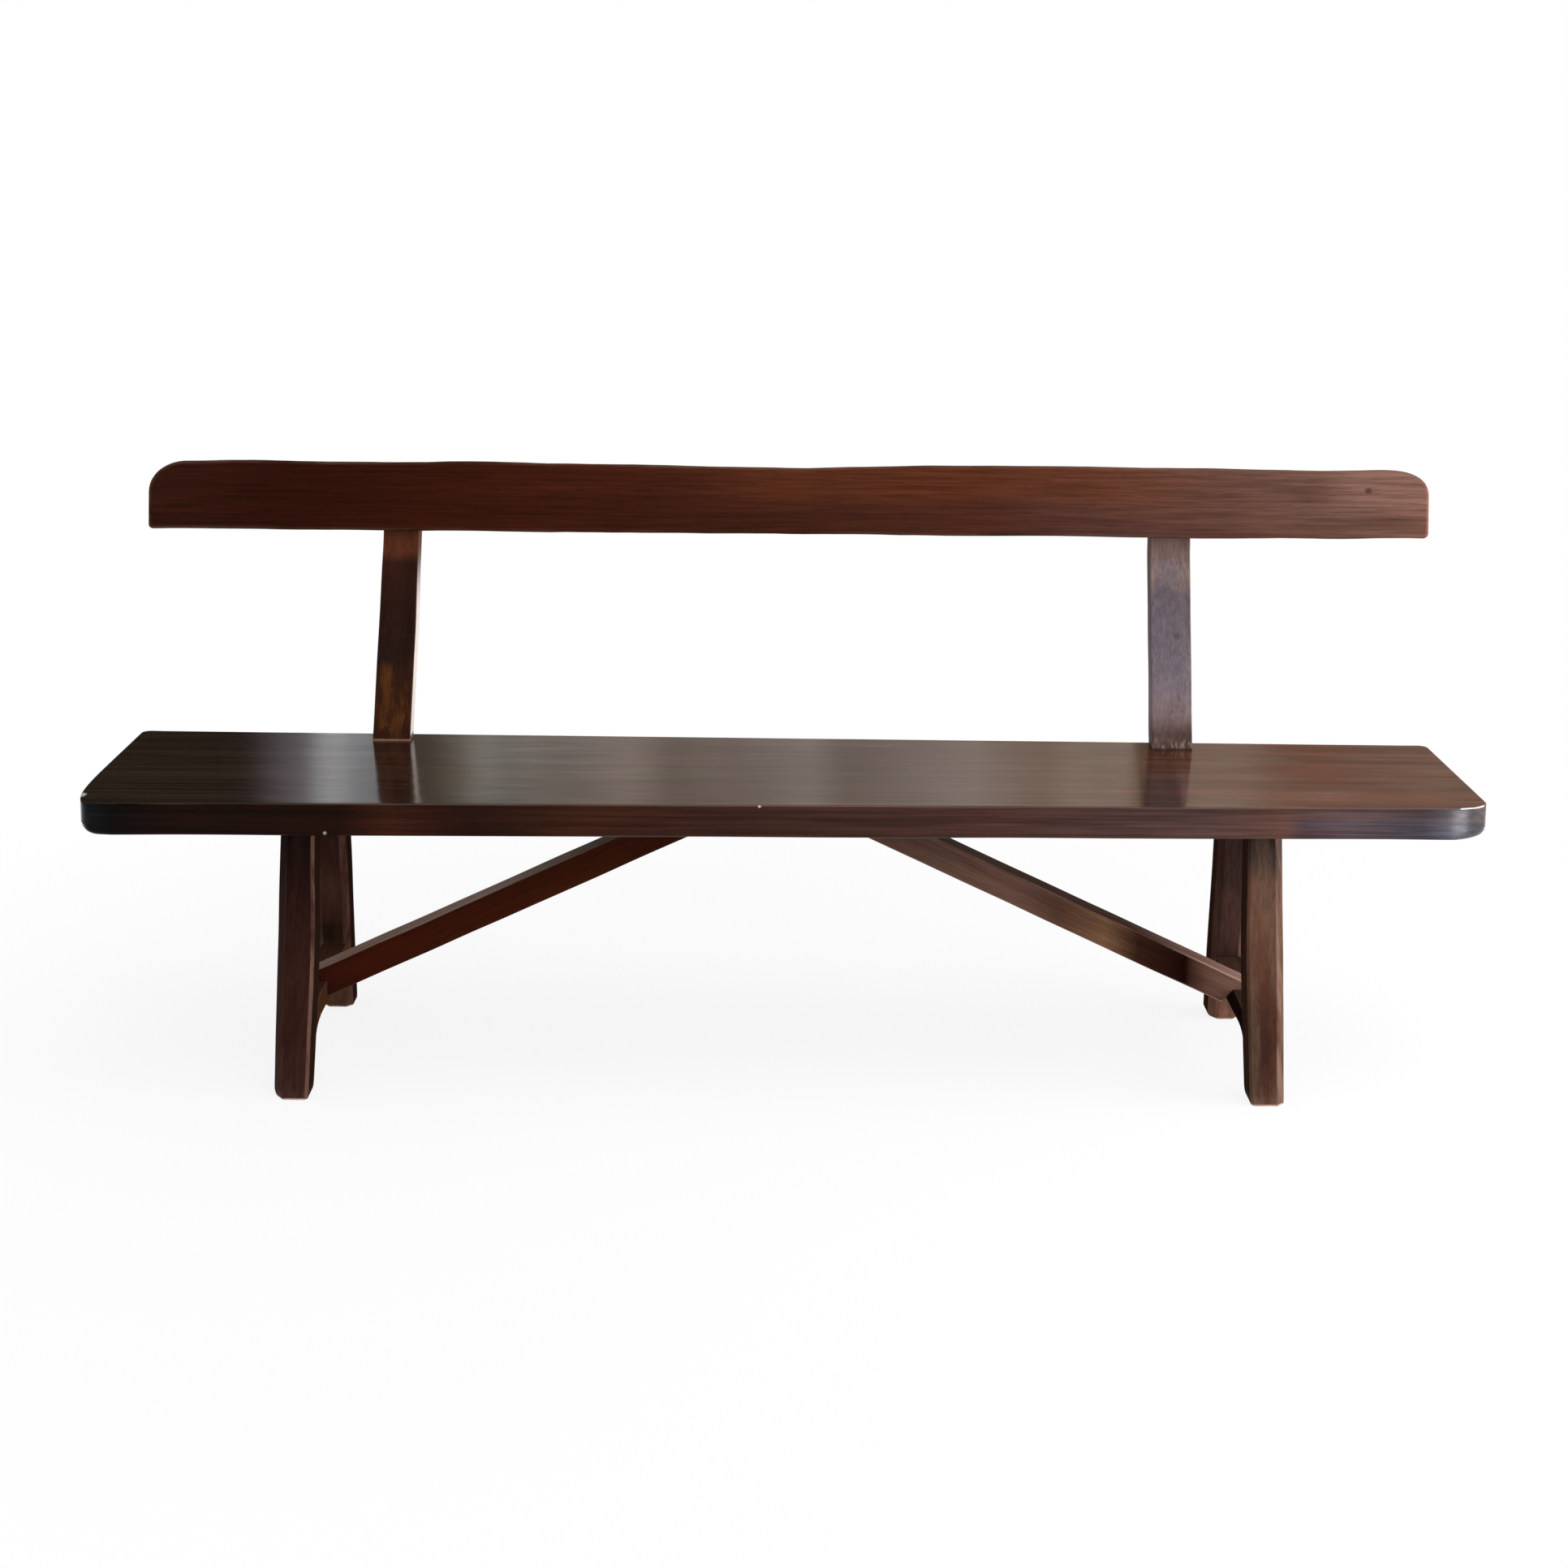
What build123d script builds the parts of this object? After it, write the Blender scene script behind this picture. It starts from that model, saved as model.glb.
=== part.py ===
"""A long rustic plank bench with a low back rail. Millimetres, X along the bench, -Y the front, +Z up.

Every piece is modelled from the floor and from the seat's centre line. At the end the whole is moved,
so that its origin lies on the floor under the middle of its box.
"""
from build123d import *
import os
from math import atan, atan2, cos, degrees, radians, sin, tan

os.makedirs("parts", exist_ok=True)

# Seat plank: its long edges taper, so each end has its own reach from the centre line
seat_length = 2000
seat_thickness = 45
seat_height = 435
seat_depth_left = 408
seat_depth_right = 352
seat_front_left = 208
seat_front_right = 172
front_corner_left_along = 40
front_corner_left_deep = 190
front_corner_right_along = 40
front_corner_right_deep = 120
back_corner_along = 14
back_corner_deep = 14
seat_top_ease = 2
seat_lower_ease = 4
round_corner_share = 0.55
bowed_end_share = 0.75

# Legs: square, splayed to the front and the back, their arrises planed off
leg_width = 50
leg_splay_degrees = 10
trestle_left_inset = 306
trestle_right_inset = 309
foot_stands_out = 5
front_foot_left = 205
front_foot_right = 196
rear_foot_left = 212
rear_foot_right = 194
arris_outside = 12
arris_inside = 6
arris_facing = 4
foot_ease = 4
leg_tenon_width = 28
leg_tenon_length = 32

# Cross rails between the legs of each trestle
cross_rail_underside = 76
cross_rail_height = 33
cross_rail_width = 40
cross_tenon_height = 24
cross_tenon_width = 16
cross_tenon_length = 30
peg_diameter = 8
peg_length = 36

# Braces, from the cross rails up to the seat's underside
brace_depth = 43.4
brace_width = 42
brace_left_lower_edge = 87
brace_right_lower_edge = 82
brace_left_tip_at = 31
brace_right_tip_at = 16.3
brace_let_in = 10
notch_open_left = 0
notch_open_right = 18

# Back posts: they lean to a knee under the rail, then stand steeper behind it
post_left_inset = 396
post_right_inset = 401.5
post_left_sway = 7.3
post_right_sway = -2.5
post_left_width = 58
post_right_width = 62
post_thickness = 34
post_setback = 47
post_knee_height = 288
post_below_rail_top = 8
post_tenon_width = 36
post_tenon_thickness = 20

# Back rail: one board with a hand-shaped top, let into the posts and standing proud of them
rail_shorter_than_seat = 11
rail_offset = 5.5
rail_depth = 109
rail_thickness = 30
rail_lean_degrees = 8
rail_behind_seat = 33.7
rail_above_seat = 316.3
rail_proud = 14
rail_ease = 3
rail_left_along = 52
rail_left_down = 48
rail_right_along = 46
rail_right_down = 42
rail_lower_corner = 7
rail_left_top_share = 0.965
rail_right_top_share = 0.987
rail_top_shares = [
    (-0.425, 0.986),
    (-0.345, 0.972),
    (-0.250, 0.990),
    (-0.110, 0.969),
    (0.010, 0.950),
    (0.060, 0.962),
    (0.110, 0.995),
    (0.180, 0.998),
    (0.320, 0.990),
    (0.413, 0.975),
]

# Wedges, screws and clearances
fox_wedge_thickness = 4
fox_wedge_length = 22
post_wedge_thickness = 5
post_wedge_length = 30
wedge_tip = 0.8
rail_screw_length = 40
brace_head_screw_length = 55
brace_foot_screw_length = 46
screw_shank = 4.5
screw_head = 9
screw_head_depth = 3.5
screw_from_rail_edge = 27
head_screw_from_tip = 45
long_arris_ease = 1.5
glue_gap = 0.1
end_gap = 1.5
overrun = 60

# Heights and directions that follow from the sizes above
seat_underside = seat_height - seat_thickness
seat_back = {"left": seat_depth_left - seat_front_left, "right": seat_depth_right - seat_front_right}
splay = radians(leg_splay_degrees)
leg_level_depth = leg_width / cos(splay)
cross_rail_top = cross_rail_underside + cross_rail_height
cross_rail_middle = cross_rail_underside + cross_rail_height / 2
rail_length = seat_length - rail_shorter_than_seat
rail_lower_edge = seat_height + rail_above_seat
rail_front_at = (seat_back["left"] + seat_back["right"]) / 2 + rail_behind_seat
rail_lean = radians(rail_lean_degrees)
rail_plane = Plane(
    origin=(rail_offset, rail_front_at, rail_lower_edge),
    x_dir=(1, 0, 0),
    z_dir=(0, -cos(rail_lean), sin(rail_lean)),
)

side_sign = {"left": -1, "right": 1}
end_sign = {"front": -1, "rear": 1}
trestle_at = {
    "left": seat_length / 2 - trestle_left_inset,
    "right": seat_length / 2 - trestle_right_inset,
}
foot_reach = {
    ("front", "left"): front_foot_left,
    ("front", "right"): front_foot_right,
    ("rear", "left"): rear_foot_left,
    ("rear", "right"): rear_foot_right,
}
brace_lower_edge = {"left": brace_left_lower_edge, "right": brace_right_lower_edge}
brace_tip_at = {"left": brace_left_tip_at, "right": brace_right_tip_at}
notch_open = {"left": notch_open_left, "right": notch_open_right}
post_at = {
    "left": seat_length / 2 - post_left_inset,
    "right": seat_length / 2 - post_right_inset,
}
post_sway = {"left": post_left_sway, "right": post_right_sway}
post_width = {"left": post_left_width, "right": post_right_width}


def slab(low, high):
    """Everything of the bench between two heights."""
    return Pos(0, 0, (low + high) / 2) * Box(seat_length, seat_length, high - low)


def towards(start, goal, distance):
    """The point at a distance from start on the way to goal, in a plane."""
    step = Vector(*goal) - Vector(*start)
    point = Vector(*start) + step.normalized() * distance
    return (point.X, point.Y)


def soft_corner(before, corner, after, reach_before, reach_after, pull_share=round_corner_share):
    """A round corner that leaves both of its edges in their own direction."""
    start = towards(corner, before, reach_before)
    finish = towards(corner, after, reach_after)
    pull_start = towards(start, corner, reach_before * pull_share)
    pull_finish = towards(finish, corner, reach_after * pull_share)
    return Bezier(start, pull_start, pull_finish, finish)


def closed_outline(curves):
    """A face inside curves that follow each other, with straight lines between them."""
    edges = []
    for curve, following in zip(curves, curves[1:] + curves[:1]):
        edges.append(curve)
        if (curve @ 1 - following @ 0).length > glue_gap:
            edges.append(Line(curve @ 1, following @ 0))
    return make_face(edges)


def prism(plane, points, thickness):
    """A flat outline on a plane, thickened equally to both sides."""
    return extrude(plane * make_face(Polyline(*points, close=True)), thickness / 2, both=True)


def ease_longest(piece, count, width):
    """Planes off the piece's longest edges, which are its long arrises."""
    return chamfer(piece.edges().sort_by(SortBy.LENGTH)[-count:], width)


def screw(length, extra=0):
    """A blunt countersunk screw along +Z from its head's face, or its hole where extra is a clearance."""
    head = screw_head / 2 + extra
    shank = screw_shank / 2 + extra
    profile = [
        (0, 0),
        (head, 0),
        (shank, screw_head_depth),
        (shank, length + extra),
        (0, length + extra),
    ]
    return revolve(Plane.XZ * make_face(Polyline(*profile, close=True)), Axis.Z)


def leg_line(end, side):
    """The centres of a leg's foot on the floor and of its top under the seat."""
    inward = -end_sign[end]
    foot_y = end_sign[end] * (foot_reach[end, side] - leg_level_depth / 2)
    top_y = foot_y + inward * tan(splay) * seat_underside
    foot_x = side_sign[side] * (trestle_at[side] + foot_stands_out)
    top_x = side_sign[side] * trestle_at[side]
    return Vector(foot_x, foot_y, 0), Vector(top_x, top_y, seat_underside)


def leg_point(end, side, height):
    """The point of a leg's centre line at a height."""
    foot, top = leg_line(end, side)
    return foot + (top - foot) * (height / seat_underside)


def leg_frame(end, side, height):
    """A plane square to a leg at a height, its X along the bench."""
    foot, top = leg_line(end, side)
    return Plane(origin=leg_point(end, side, height), x_dir=(1, 0, 0), z_dir=top - foot)


def planed_section(cuts):
    """The square section of a leg with its four arrises planed off, from the front left corner round."""
    half = leg_width / 2
    corners = [(-half, -half), (half, -half), (half, half), (-half, half)]
    points = []
    for index, corner in enumerate(corners):
        before = corners[index - 1]
        after = corners[(index + 1) % len(corners)]
        points.append(towards(corner, before, cuts[index]))
        points.append(towards(corner, after, cuts[index]))
    return points


def arris_cuts(end, side):
    """How much is planed off each arris: most on the outside, least where the cross rail meets the leg."""
    outer_pair = [arris_outside, arris_inside] if side == "left" else [arris_inside, arris_outside]
    facing_pair = [arris_facing, arris_facing]
    if end == "front":
        return outer_pair + facing_pair
    return facing_pair + outer_pair[::-1]


def square_stock(end, side, width):
    """A square bar on a leg's line that runs past the floor and the seat."""
    low_end = leg_frame(end, side, -overrun)
    section = low_end * Rectangle(width, width)
    return extrude(section, (seat_height + 2 * overrun) / cos(splay))


def leg_tenon(end, side, gap=0):
    """The blind tenon on a leg's top, or its mortise where gap is a clearance."""
    reach = seat_underside + leg_tenon_length
    if gap:
        reach += end_gap
    return square_stock(end, side, leg_tenon_width + 2 * gap) & slab(seat_underside, reach)


def fox_wedge(end, side):
    """The wedge in a leg's blind tenon, thick end up."""
    frame = leg_frame(end, side, seat_underside + leg_tenon_length)
    across = Plane(origin=frame.origin, x_dir=frame.x_dir, z_dir=-frame.y_dir)
    half = fox_wedge_thickness / 2
    tip = wedge_tip / 2
    points = [(-half, 0), (half, 0), (tip, -fox_wedge_length), (-tip, -fox_wedge_length)]
    return prism(across, points, leg_tenon_width) & leg_tenon(end, side)


def cross_tenons(side, gap=0):
    """The bar that makes both tenons of a cross rail, or its mortises where gap is a clearance."""
    reach = cross_tenon_length - leg_level_depth / 2
    if gap:
        reach += end_gap
    front = leg_point("front", side, cross_rail_middle)
    rear = leg_point("rear", side, cross_rail_middle)
    length = rear.Y - front.Y + 2 * reach
    bar = Box(cross_tenon_width + 2 * gap, length, cross_tenon_height + 2 * gap)
    return Pos(front.X, (front.Y + rear.Y) / 2, cross_rail_middle) * bar


def cross_peg(end, side, extra=0):
    """The peg across a leg and its cross rail's tenon, or its hole where extra is a clearance."""
    centre = leg_point(end, side, cross_rail_middle)
    outer = centre.X + side_sign[side] * leg_width / 2
    middle = outer - side_sign[side] * peg_length / 2
    peg = Rot(0, 90, 0) * Cylinder(peg_diameter / 2 + extra, peg_length + 2 * extra)
    return Pos(middle, centre.Y, centre.Z) * peg


def make_leg(end, side):
    """A leg from the floor to the seat, with its tenon, the cross rail's mortise and the peg's hole."""
    low_end = leg_frame(end, side, -overrun)
    section = low_end * make_face(Polyline(*planed_section(arris_cuts(end, side)), close=True))
    shaft = extrude(section, (seat_height + 2 * overrun) / cos(splay)) & slab(0, seat_underside)
    shaft = chamfer(shaft.faces().sort_by(Axis.Z)[0].edges(), foot_ease)
    leg = shaft + (leg_tenon(end, side) - fox_wedge(end, side))
    return leg - cross_tenons(side, glue_gap) - cross_peg(end, side, glue_gap)


def make_cross_rail(side):
    """A cross rail whose shoulders follow the splay of its legs."""
    front = leg_point("front", side, cross_rail_middle)
    rear = leg_point("rear", side, cross_rail_middle)
    bar = Box(cross_rail_width, rear.Y - front.Y, cross_rail_height)
    rail = Pos(front.X, (front.Y + rear.Y) / 2, cross_rail_middle) * bar
    rail = rail - square_stock("front", side, leg_width) - square_stock("rear", side, leg_width)
    rail = ease_longest(rail, 4, long_arris_ease) + cross_tenons(side)
    pegs = cross_peg("front", side, glue_gap) + cross_peg("rear", side, glue_gap)
    return rail - pegs - foot_screw(side, glue_gap)


def brace_foot_x(side):
    """Where a brace leaves the inner face of its cross rail."""
    centre = leg_point("front", side, cross_rail_middle).X
    return centre - side_sign[side] * cross_rail_width / 2


def brace_run(side):
    """How far inwards of the cross rail the brace's lower edge meets the seat."""
    return abs(brace_foot_x(side)) - brace_tip_at[side]


def brace_slope(side):
    """How much a brace rises for each unit that it runs inwards."""
    return (seat_underside - brace_lower_edge[side]) / brace_run(side)


def along_brace(side, points, width):
    """An outline of distances inwards of a cross rail and heights, thickened to both sides."""
    inward = -side_sign[side]
    outline = [(brace_foot_x(side) + inward * run, height) for run, height in points]
    return prism(Plane.XZ, outline, width)


def brace_bar(side, gap=0):
    """A brace before its notch is cut, with plumb ends and a level head in the seat."""
    width = brace_width + 2 * gap
    slope = brace_slope(side)
    depth = brace_depth / cos(atan(slope))
    start = -cross_rail_width - overrun
    finish = brace_run(side) + overrun
    low_start = brace_lower_edge[side] + slope * start
    low_finish = brace_lower_edge[side] + slope * finish
    lower = [(start, low_start), (finish, low_finish)]
    upper = [(finish, low_finish + depth), (start, low_start + depth)]
    bar = along_brace(side, lower + upper, width)
    if not gap:
        bar = ease_longest(bar, 4, long_arris_ease)
    head = seat_underside + brace_let_in
    run = brace_run(side)
    room = [(-cross_rail_width, 0), (run, 0), (run, head), (-cross_rail_width, head)]
    return bar & along_brace(side, room, width)


def brace_notch(side):
    """What is cut out of a brace to sit it over its cross rail: the right one leaves a gap at its heel."""
    heel = notch_open[side]
    outside = -cross_rail_width - overrun
    points = [
        (heel, 0),
        (heel, brace_lower_edge[side] + brace_slope(side) * heel),
        (0, cross_rail_top),
        (outside, cross_rail_top),
        (outside, 0),
    ]
    return along_brace(side, points, brace_width + overrun)


def brace_housing(side):
    """The housing in the seat's underside for a brace's head."""
    bar = brace_bar(side, glue_gap)
    return bar + Pos(-side_sign[side] * glue_gap, 0, glue_gap) * bar


def head_screw(side, extra=0):
    """The screw up through a brace's head, square to the brace, or its hole where extra is a clearance."""
    inward = -side_sign[side]
    run = brace_run(side) - head_screw_from_tip
    height = brace_lower_edge[side] + brace_slope(side) * run
    angle = atan(brace_slope(side))
    up = (-inward * sin(angle), 0, cos(angle))
    start = Plane(origin=(brace_foot_x(side) + inward * run, 0, height), x_dir=(0, 1, 0), z_dir=up)
    return start * screw(brace_head_screw_length, extra)


def foot_screw(side, extra=0):
    """The screw up through a cross rail into the brace's foot, or its hole where extra is a clearance."""
    middle = brace_foot_x(side) + side_sign[side] * cross_rail_width / 2
    return Pos(middle, 0, cross_rail_underside) * screw(brace_foot_screw_length, extra)


def make_brace(side):
    """A brace with its notch over the cross rail and its screw holes."""
    holes = head_screw(side, glue_gap) + foot_screw(side, glue_gap)
    return brace_bar(side) - brace_notch(side) - holes


def seat_back_edge(x):
    """The seat's back edge at a place along the bench."""
    share = x / seat_length + 1 / 2
    return seat_back["left"] + (seat_back["right"] - seat_back["left"]) * share


def post_front_line(side):
    """The front face of a post, from the seat to its knee and to its top, as (y, z)."""
    foot = (seat_back_edge(side_sign[side] * post_at[side]) - post_setback, seat_height)
    knee_height = seat_height + post_knee_height
    top_height = rail_lower_edge + (rail_depth - post_below_rail_top) * cos(rail_lean)
    behind_rail = rail_front_at + rail_proud / cos(rail_lean)
    knee = (behind_rail + (knee_height - rail_lower_edge) * tan(rail_lean), knee_height)
    top = (behind_rail + (top_height - rail_lower_edge) * tan(rail_lean), top_height)
    return foot, knee, top


def post_lean(side):
    """The angle by which a post leans back below its knee."""
    foot, knee, top = post_front_line(side)
    return atan2(knee[0] - foot[0], knee[1] - foot[1])


def post_outline(side):
    """A post from the side, run on below the seat's top so that its foot can be cut level."""
    foot, knee, top = post_front_line(side)
    lean = post_lean(side)
    middle = (lean + rail_lean) / 2
    mitre = post_thickness / cos((lean - rail_lean) / 2)
    below = (foot[0] - overrun * tan(lean), foot[1] - overrun)
    below_back = (below[0] + post_thickness / cos(lean), below[1])
    knee_back = (knee[0] + mitre * cos(middle), knee[1] - mitre * sin(middle))
    top_back = (top[0] + post_thickness * cos(rail_lean), top[1] - post_thickness * sin(rail_lean))
    return [below, knee, top, top_back, knee_back, below_back]


def sway(side):
    """The small sideways lean of a post about its foot, inwards where it is positive."""
    angle = degrees(atan2(post_sway[side], post_knee_height))
    foot_x = side_sign[side] * post_at[side]
    return Pos(foot_x, 0, seat_height) * Rot(0, -side_sign[side] * angle, 0)


def tenon_place(side):
    """The middle of a post's foot, with +Z up along the post."""
    foot = post_front_line(side)[0]
    lean = post_lean(side)
    middle_y = foot[0] + post_thickness / cos(lean) / 2
    return sway(side) * Pos(0, middle_y, 0) * Rot(-degrees(lean), 0, 0)


def post_tenon(side, gap=0):
    """The through tenon of a post, or its mortise where gap is a clearance."""
    bar = Box(post_tenon_width + 2 * gap, post_tenon_thickness + 2 * gap, 2 * (seat_thickness + overrun))
    return (tenon_place(side) * bar) & slab(seat_underside, seat_height)


def post_wedge(side):
    """The wedge driven up into a post's through tenon, thick end down and flush with the seat's underside."""
    depth = seat_thickness / cos(post_lean(side))
    half = post_wedge_thickness / 2
    tip = wedge_tip / 2
    top = post_wedge_length - depth
    points = [(-half, -depth - end_gap), (half, -depth - end_gap), (tip, top), (-tip, top)]
    blade = prism(Plane.XZ, points, post_tenon_thickness)
    return (tenon_place(side) * blade) & post_tenon(side)


def rail_room():
    """The space that the rail takes behind its front face, run on upwards and sideways past the posts."""
    height = rail_depth + overrun
    block = Box(rail_length, height, rail_thickness + overrun)
    middle = (0, height / 2, (overrun - rail_thickness) / 2)
    return rail_plane * Pos(*middle) * block


def rail_screw_places(side):
    """The two screws of a post, as places on the rail's plane."""
    x = side_sign[side] * (post_at[side] - post_sway[side]) - rail_offset
    behind_face = rail_proud + post_thickness
    heights = [screw_from_rail_edge, rail_depth - post_below_rail_top - screw_from_rail_edge]
    return [Pos(x, height, -behind_face) for height in heights]


def rail_screws(side, extra=0):
    """The screws through a post into the rail from behind, or their holes where extra is a clearance."""
    return [rail_plane * place * screw(rail_screw_length, extra) for place in rail_screw_places(side)]


def make_post(side):
    """A post with its level shoulder, through tenon, notch for the rail and screw holes."""
    board = prism(Plane.YZ, post_outline(side), post_width[side])
    board = ease_longest(board, 8, long_arris_ease)
    top_height = post_front_line(side)[2][1] + overrun
    board = (sway(side) * Pos(0, 0, -seat_height) * board) & slab(seat_height, top_height)
    post = board + (post_tenon(side) - post_wedge(side))
    post = post - rail_room()
    for hole in rail_screws(side, glue_gap):
        post = post - hole
    return post


def rail_outline():
    """The rail's front face: round upper corners, a hand-shaped top and small lower corners."""
    half = rail_length / 2
    left_top = (-half, rail_left_top_share * rail_depth)
    right_top = (half, rail_right_top_share * rail_depth)
    lower_left = (-half, 0)
    lower_right = (half, 0)
    start = soft_corner(lower_left, left_top, right_top, rail_left_down, rail_left_along)
    finish = soft_corner(left_top, right_top, lower_right, rail_right_along, rail_right_down)
    top_points = [(x * rail_length, y * rail_depth) for x, y in rail_top_shares]
    top = Spline(start @ 1, *top_points, finish @ 0, tangents=[start % 1, finish % 0])
    small = rail_lower_corner
    right = soft_corner(right_top, lower_right, lower_left, small, small)
    left = soft_corner(lower_right, lower_left, left_top, small, small)
    return closed_outline([start, top, finish, right, left])


def make_rail():
    """The back rail with its screw holes."""
    board = extrude(rail_outline(), -rail_thickness)
    board = chamfer(board.faces().filter_by(Axis.Z).edges(), rail_ease)
    rail = rail_plane * board
    for side in side_sign:
        for hole in rail_screws(side, glue_gap):
            rail = rail - hole
    return rail


def seat_outline():
    """The seat from above: ends that bow into round corners at the front, small corners at the back."""
    half = seat_length / 2
    corners = [
        (-half, -seat_front_left),
        (half, -seat_front_right),
        (half, seat_back["right"]),
        (-half, seat_back["left"]),
    ]
    reaches = [
        (front_corner_left_deep, front_corner_left_along, bowed_end_share),
        (front_corner_right_along, front_corner_right_deep, bowed_end_share),
        (back_corner_deep, back_corner_along),
        (back_corner_along, back_corner_deep),
    ]
    curves = []
    for index, corner in enumerate(corners):
        before = corners[index - 1]
        after = corners[(index + 1) % len(corners)]
        curves.append(soft_corner(before, corner, after, *reaches[index]))
    return closed_outline(curves)


def make_seat():
    """The seat plank with its eased edges, mortises and housings."""
    plank = Pos(0, 0, seat_underside) * extrude(seat_outline(), seat_thickness)
    plank = chamfer(plank.faces().sort_by(Axis.Z)[-1].edges(), seat_top_ease)
    plank = fillet(plank.faces().sort_by(Axis.Z)[0].edges(), seat_lower_ease)
    for side in side_sign:
        plank = plank - post_tenon(side, glue_gap) - brace_housing(side)
        plank = plank - head_screw(side, glue_gap)
        for end in end_sign:
            plank = plank - leg_tenon(end, side, glue_gap)
    return plank


def every_piece():
    """All the pieces of the bench by name."""
    pieces = {"seat_plank": make_seat(), "back_rail": make_rail()}
    for side in side_sign:
        pieces["back_post_" + side] = make_post(side)
        pieces["cross_rail_" + side] = make_cross_rail(side)
        pieces["brace_" + side] = make_brace(side)
        for end in end_sign:
            pieces["leg_" + end + "_" + side] = make_leg(end, side)
    leg_places = [(end, side) for end in end_sign for side in side_sign]
    pieces["leg_tenon_wedges"] = Compound([fox_wedge(*place) for place in leg_places])
    pieces["cross_rail_pegs"] = Compound([cross_peg(*place) for place in leg_places])
    pieces["post_tenon_wedges"] = Compound([post_wedge(side) for side in side_sign])
    pieces["back_rail_screws"] = Compound(rail_screws("left") + rail_screws("right"))
    pieces["brace_head_screws"] = Compound([head_screw(side) for side in side_sign])
    pieces["brace_foot_screws"] = Compound([foot_screw(side) for side in side_sign])
    return pieces


pieces = every_piece()
box = Compound(list(pieces.values())).bounding_box()
to_origin = Pos(-box.center().X, -box.center().Y, -box.min.Z)
for name, piece in pieces.items():
    export_step(to_origin * piece, os.path.join("parts", name + ".step"))
print("moved to the origin by", to_origin.position)
print("overall size", box.size)
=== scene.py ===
"""A long rustic plank bench with a low back rail, in dark stained wood, on a pale floor."""
import math

import bmesh
import bpy
from mathutils import Matrix, Vector, noise


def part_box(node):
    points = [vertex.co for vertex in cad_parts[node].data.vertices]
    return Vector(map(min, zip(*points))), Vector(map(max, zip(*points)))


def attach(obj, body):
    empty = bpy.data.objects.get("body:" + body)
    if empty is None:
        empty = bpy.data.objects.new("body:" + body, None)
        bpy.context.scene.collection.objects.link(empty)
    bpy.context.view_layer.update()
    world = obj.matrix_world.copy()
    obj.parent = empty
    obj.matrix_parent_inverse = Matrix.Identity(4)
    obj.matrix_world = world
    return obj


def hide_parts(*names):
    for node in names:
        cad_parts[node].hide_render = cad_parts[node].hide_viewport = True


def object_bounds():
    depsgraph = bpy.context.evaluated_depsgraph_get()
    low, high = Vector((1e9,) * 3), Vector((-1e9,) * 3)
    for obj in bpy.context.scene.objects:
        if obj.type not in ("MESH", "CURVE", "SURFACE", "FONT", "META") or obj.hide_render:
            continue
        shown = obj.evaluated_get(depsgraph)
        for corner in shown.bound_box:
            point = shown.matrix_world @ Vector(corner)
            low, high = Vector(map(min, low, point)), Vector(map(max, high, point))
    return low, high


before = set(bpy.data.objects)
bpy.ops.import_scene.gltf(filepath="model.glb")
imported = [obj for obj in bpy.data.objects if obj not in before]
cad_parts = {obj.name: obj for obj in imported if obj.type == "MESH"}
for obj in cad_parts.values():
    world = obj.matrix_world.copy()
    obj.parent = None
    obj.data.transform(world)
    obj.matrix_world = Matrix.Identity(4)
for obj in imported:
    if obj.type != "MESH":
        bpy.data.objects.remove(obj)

solids_low, solids_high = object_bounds()

# One seed, so that the wander of the planed edges is the same in every run
noise.seed_set(1)

# Where the bench's centre line runs, and the ends of its main members, in metres
line_y = (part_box("brace_left")[0].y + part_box("brace_left")[1].y) / 2
seat_low, seat_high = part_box("seat_plank")
seat_half = (seat_high.x - seat_low.x) / 2
seat_top = seat_high.z
seat_underside = seat_low.z - 0.002
outward = {"left": -1, "right": 1}
rearward = {"front": -1, "rear": 1}

# Seat plank: a round gives its reach before and after its corner, its pull and its parts,
# and a level its inset, its height and how worn it is
seat_front = {"left": 0.208, "right": 0.172}
seat_back = {"left": 0.200, "right": 0.180}
front_round = {"left": (0.190, 0.040, 0.79, 24), "right": (0.068, 0.038, 0.62, 24)}
back_round = (0.014, 0.014, 0.55, 5)
seat_levels = [
    (0.0040, 0.0000, 0.0),
    (0.0022, 0.0003, 0.3),
    (0.0010, 0.0011, 0.8),
    (0.0003, 0.0022, 0.5),
    (0.0000, 0.0040, 0.0),
    (0.0000, 0.0140, 0.0),
    (0.0000, 0.0240, 0.0),
    (0.0000, 0.0340, 0.0),
    (0.0000, 0.0430, 0.0),
    (0.0002, 0.0445, 0.5),
    (0.0009, 0.0459, 1.0),
    (0.0024, 0.0468, 0.6),
    (0.0048, 0.0470, 0.0),
]
lower_arris_widens = {"left": 4.5, "right": 2.8}
lower_arris_lifts = {"left": 4.0, "right": 2.6}
lower_arris_from = 0.950
lower_arris_run = 0.045
end_arris_share = 0.6
end_arris_from = 0.97
planing_fades_from = 0.855
planing_fades_over = 0.10

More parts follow.
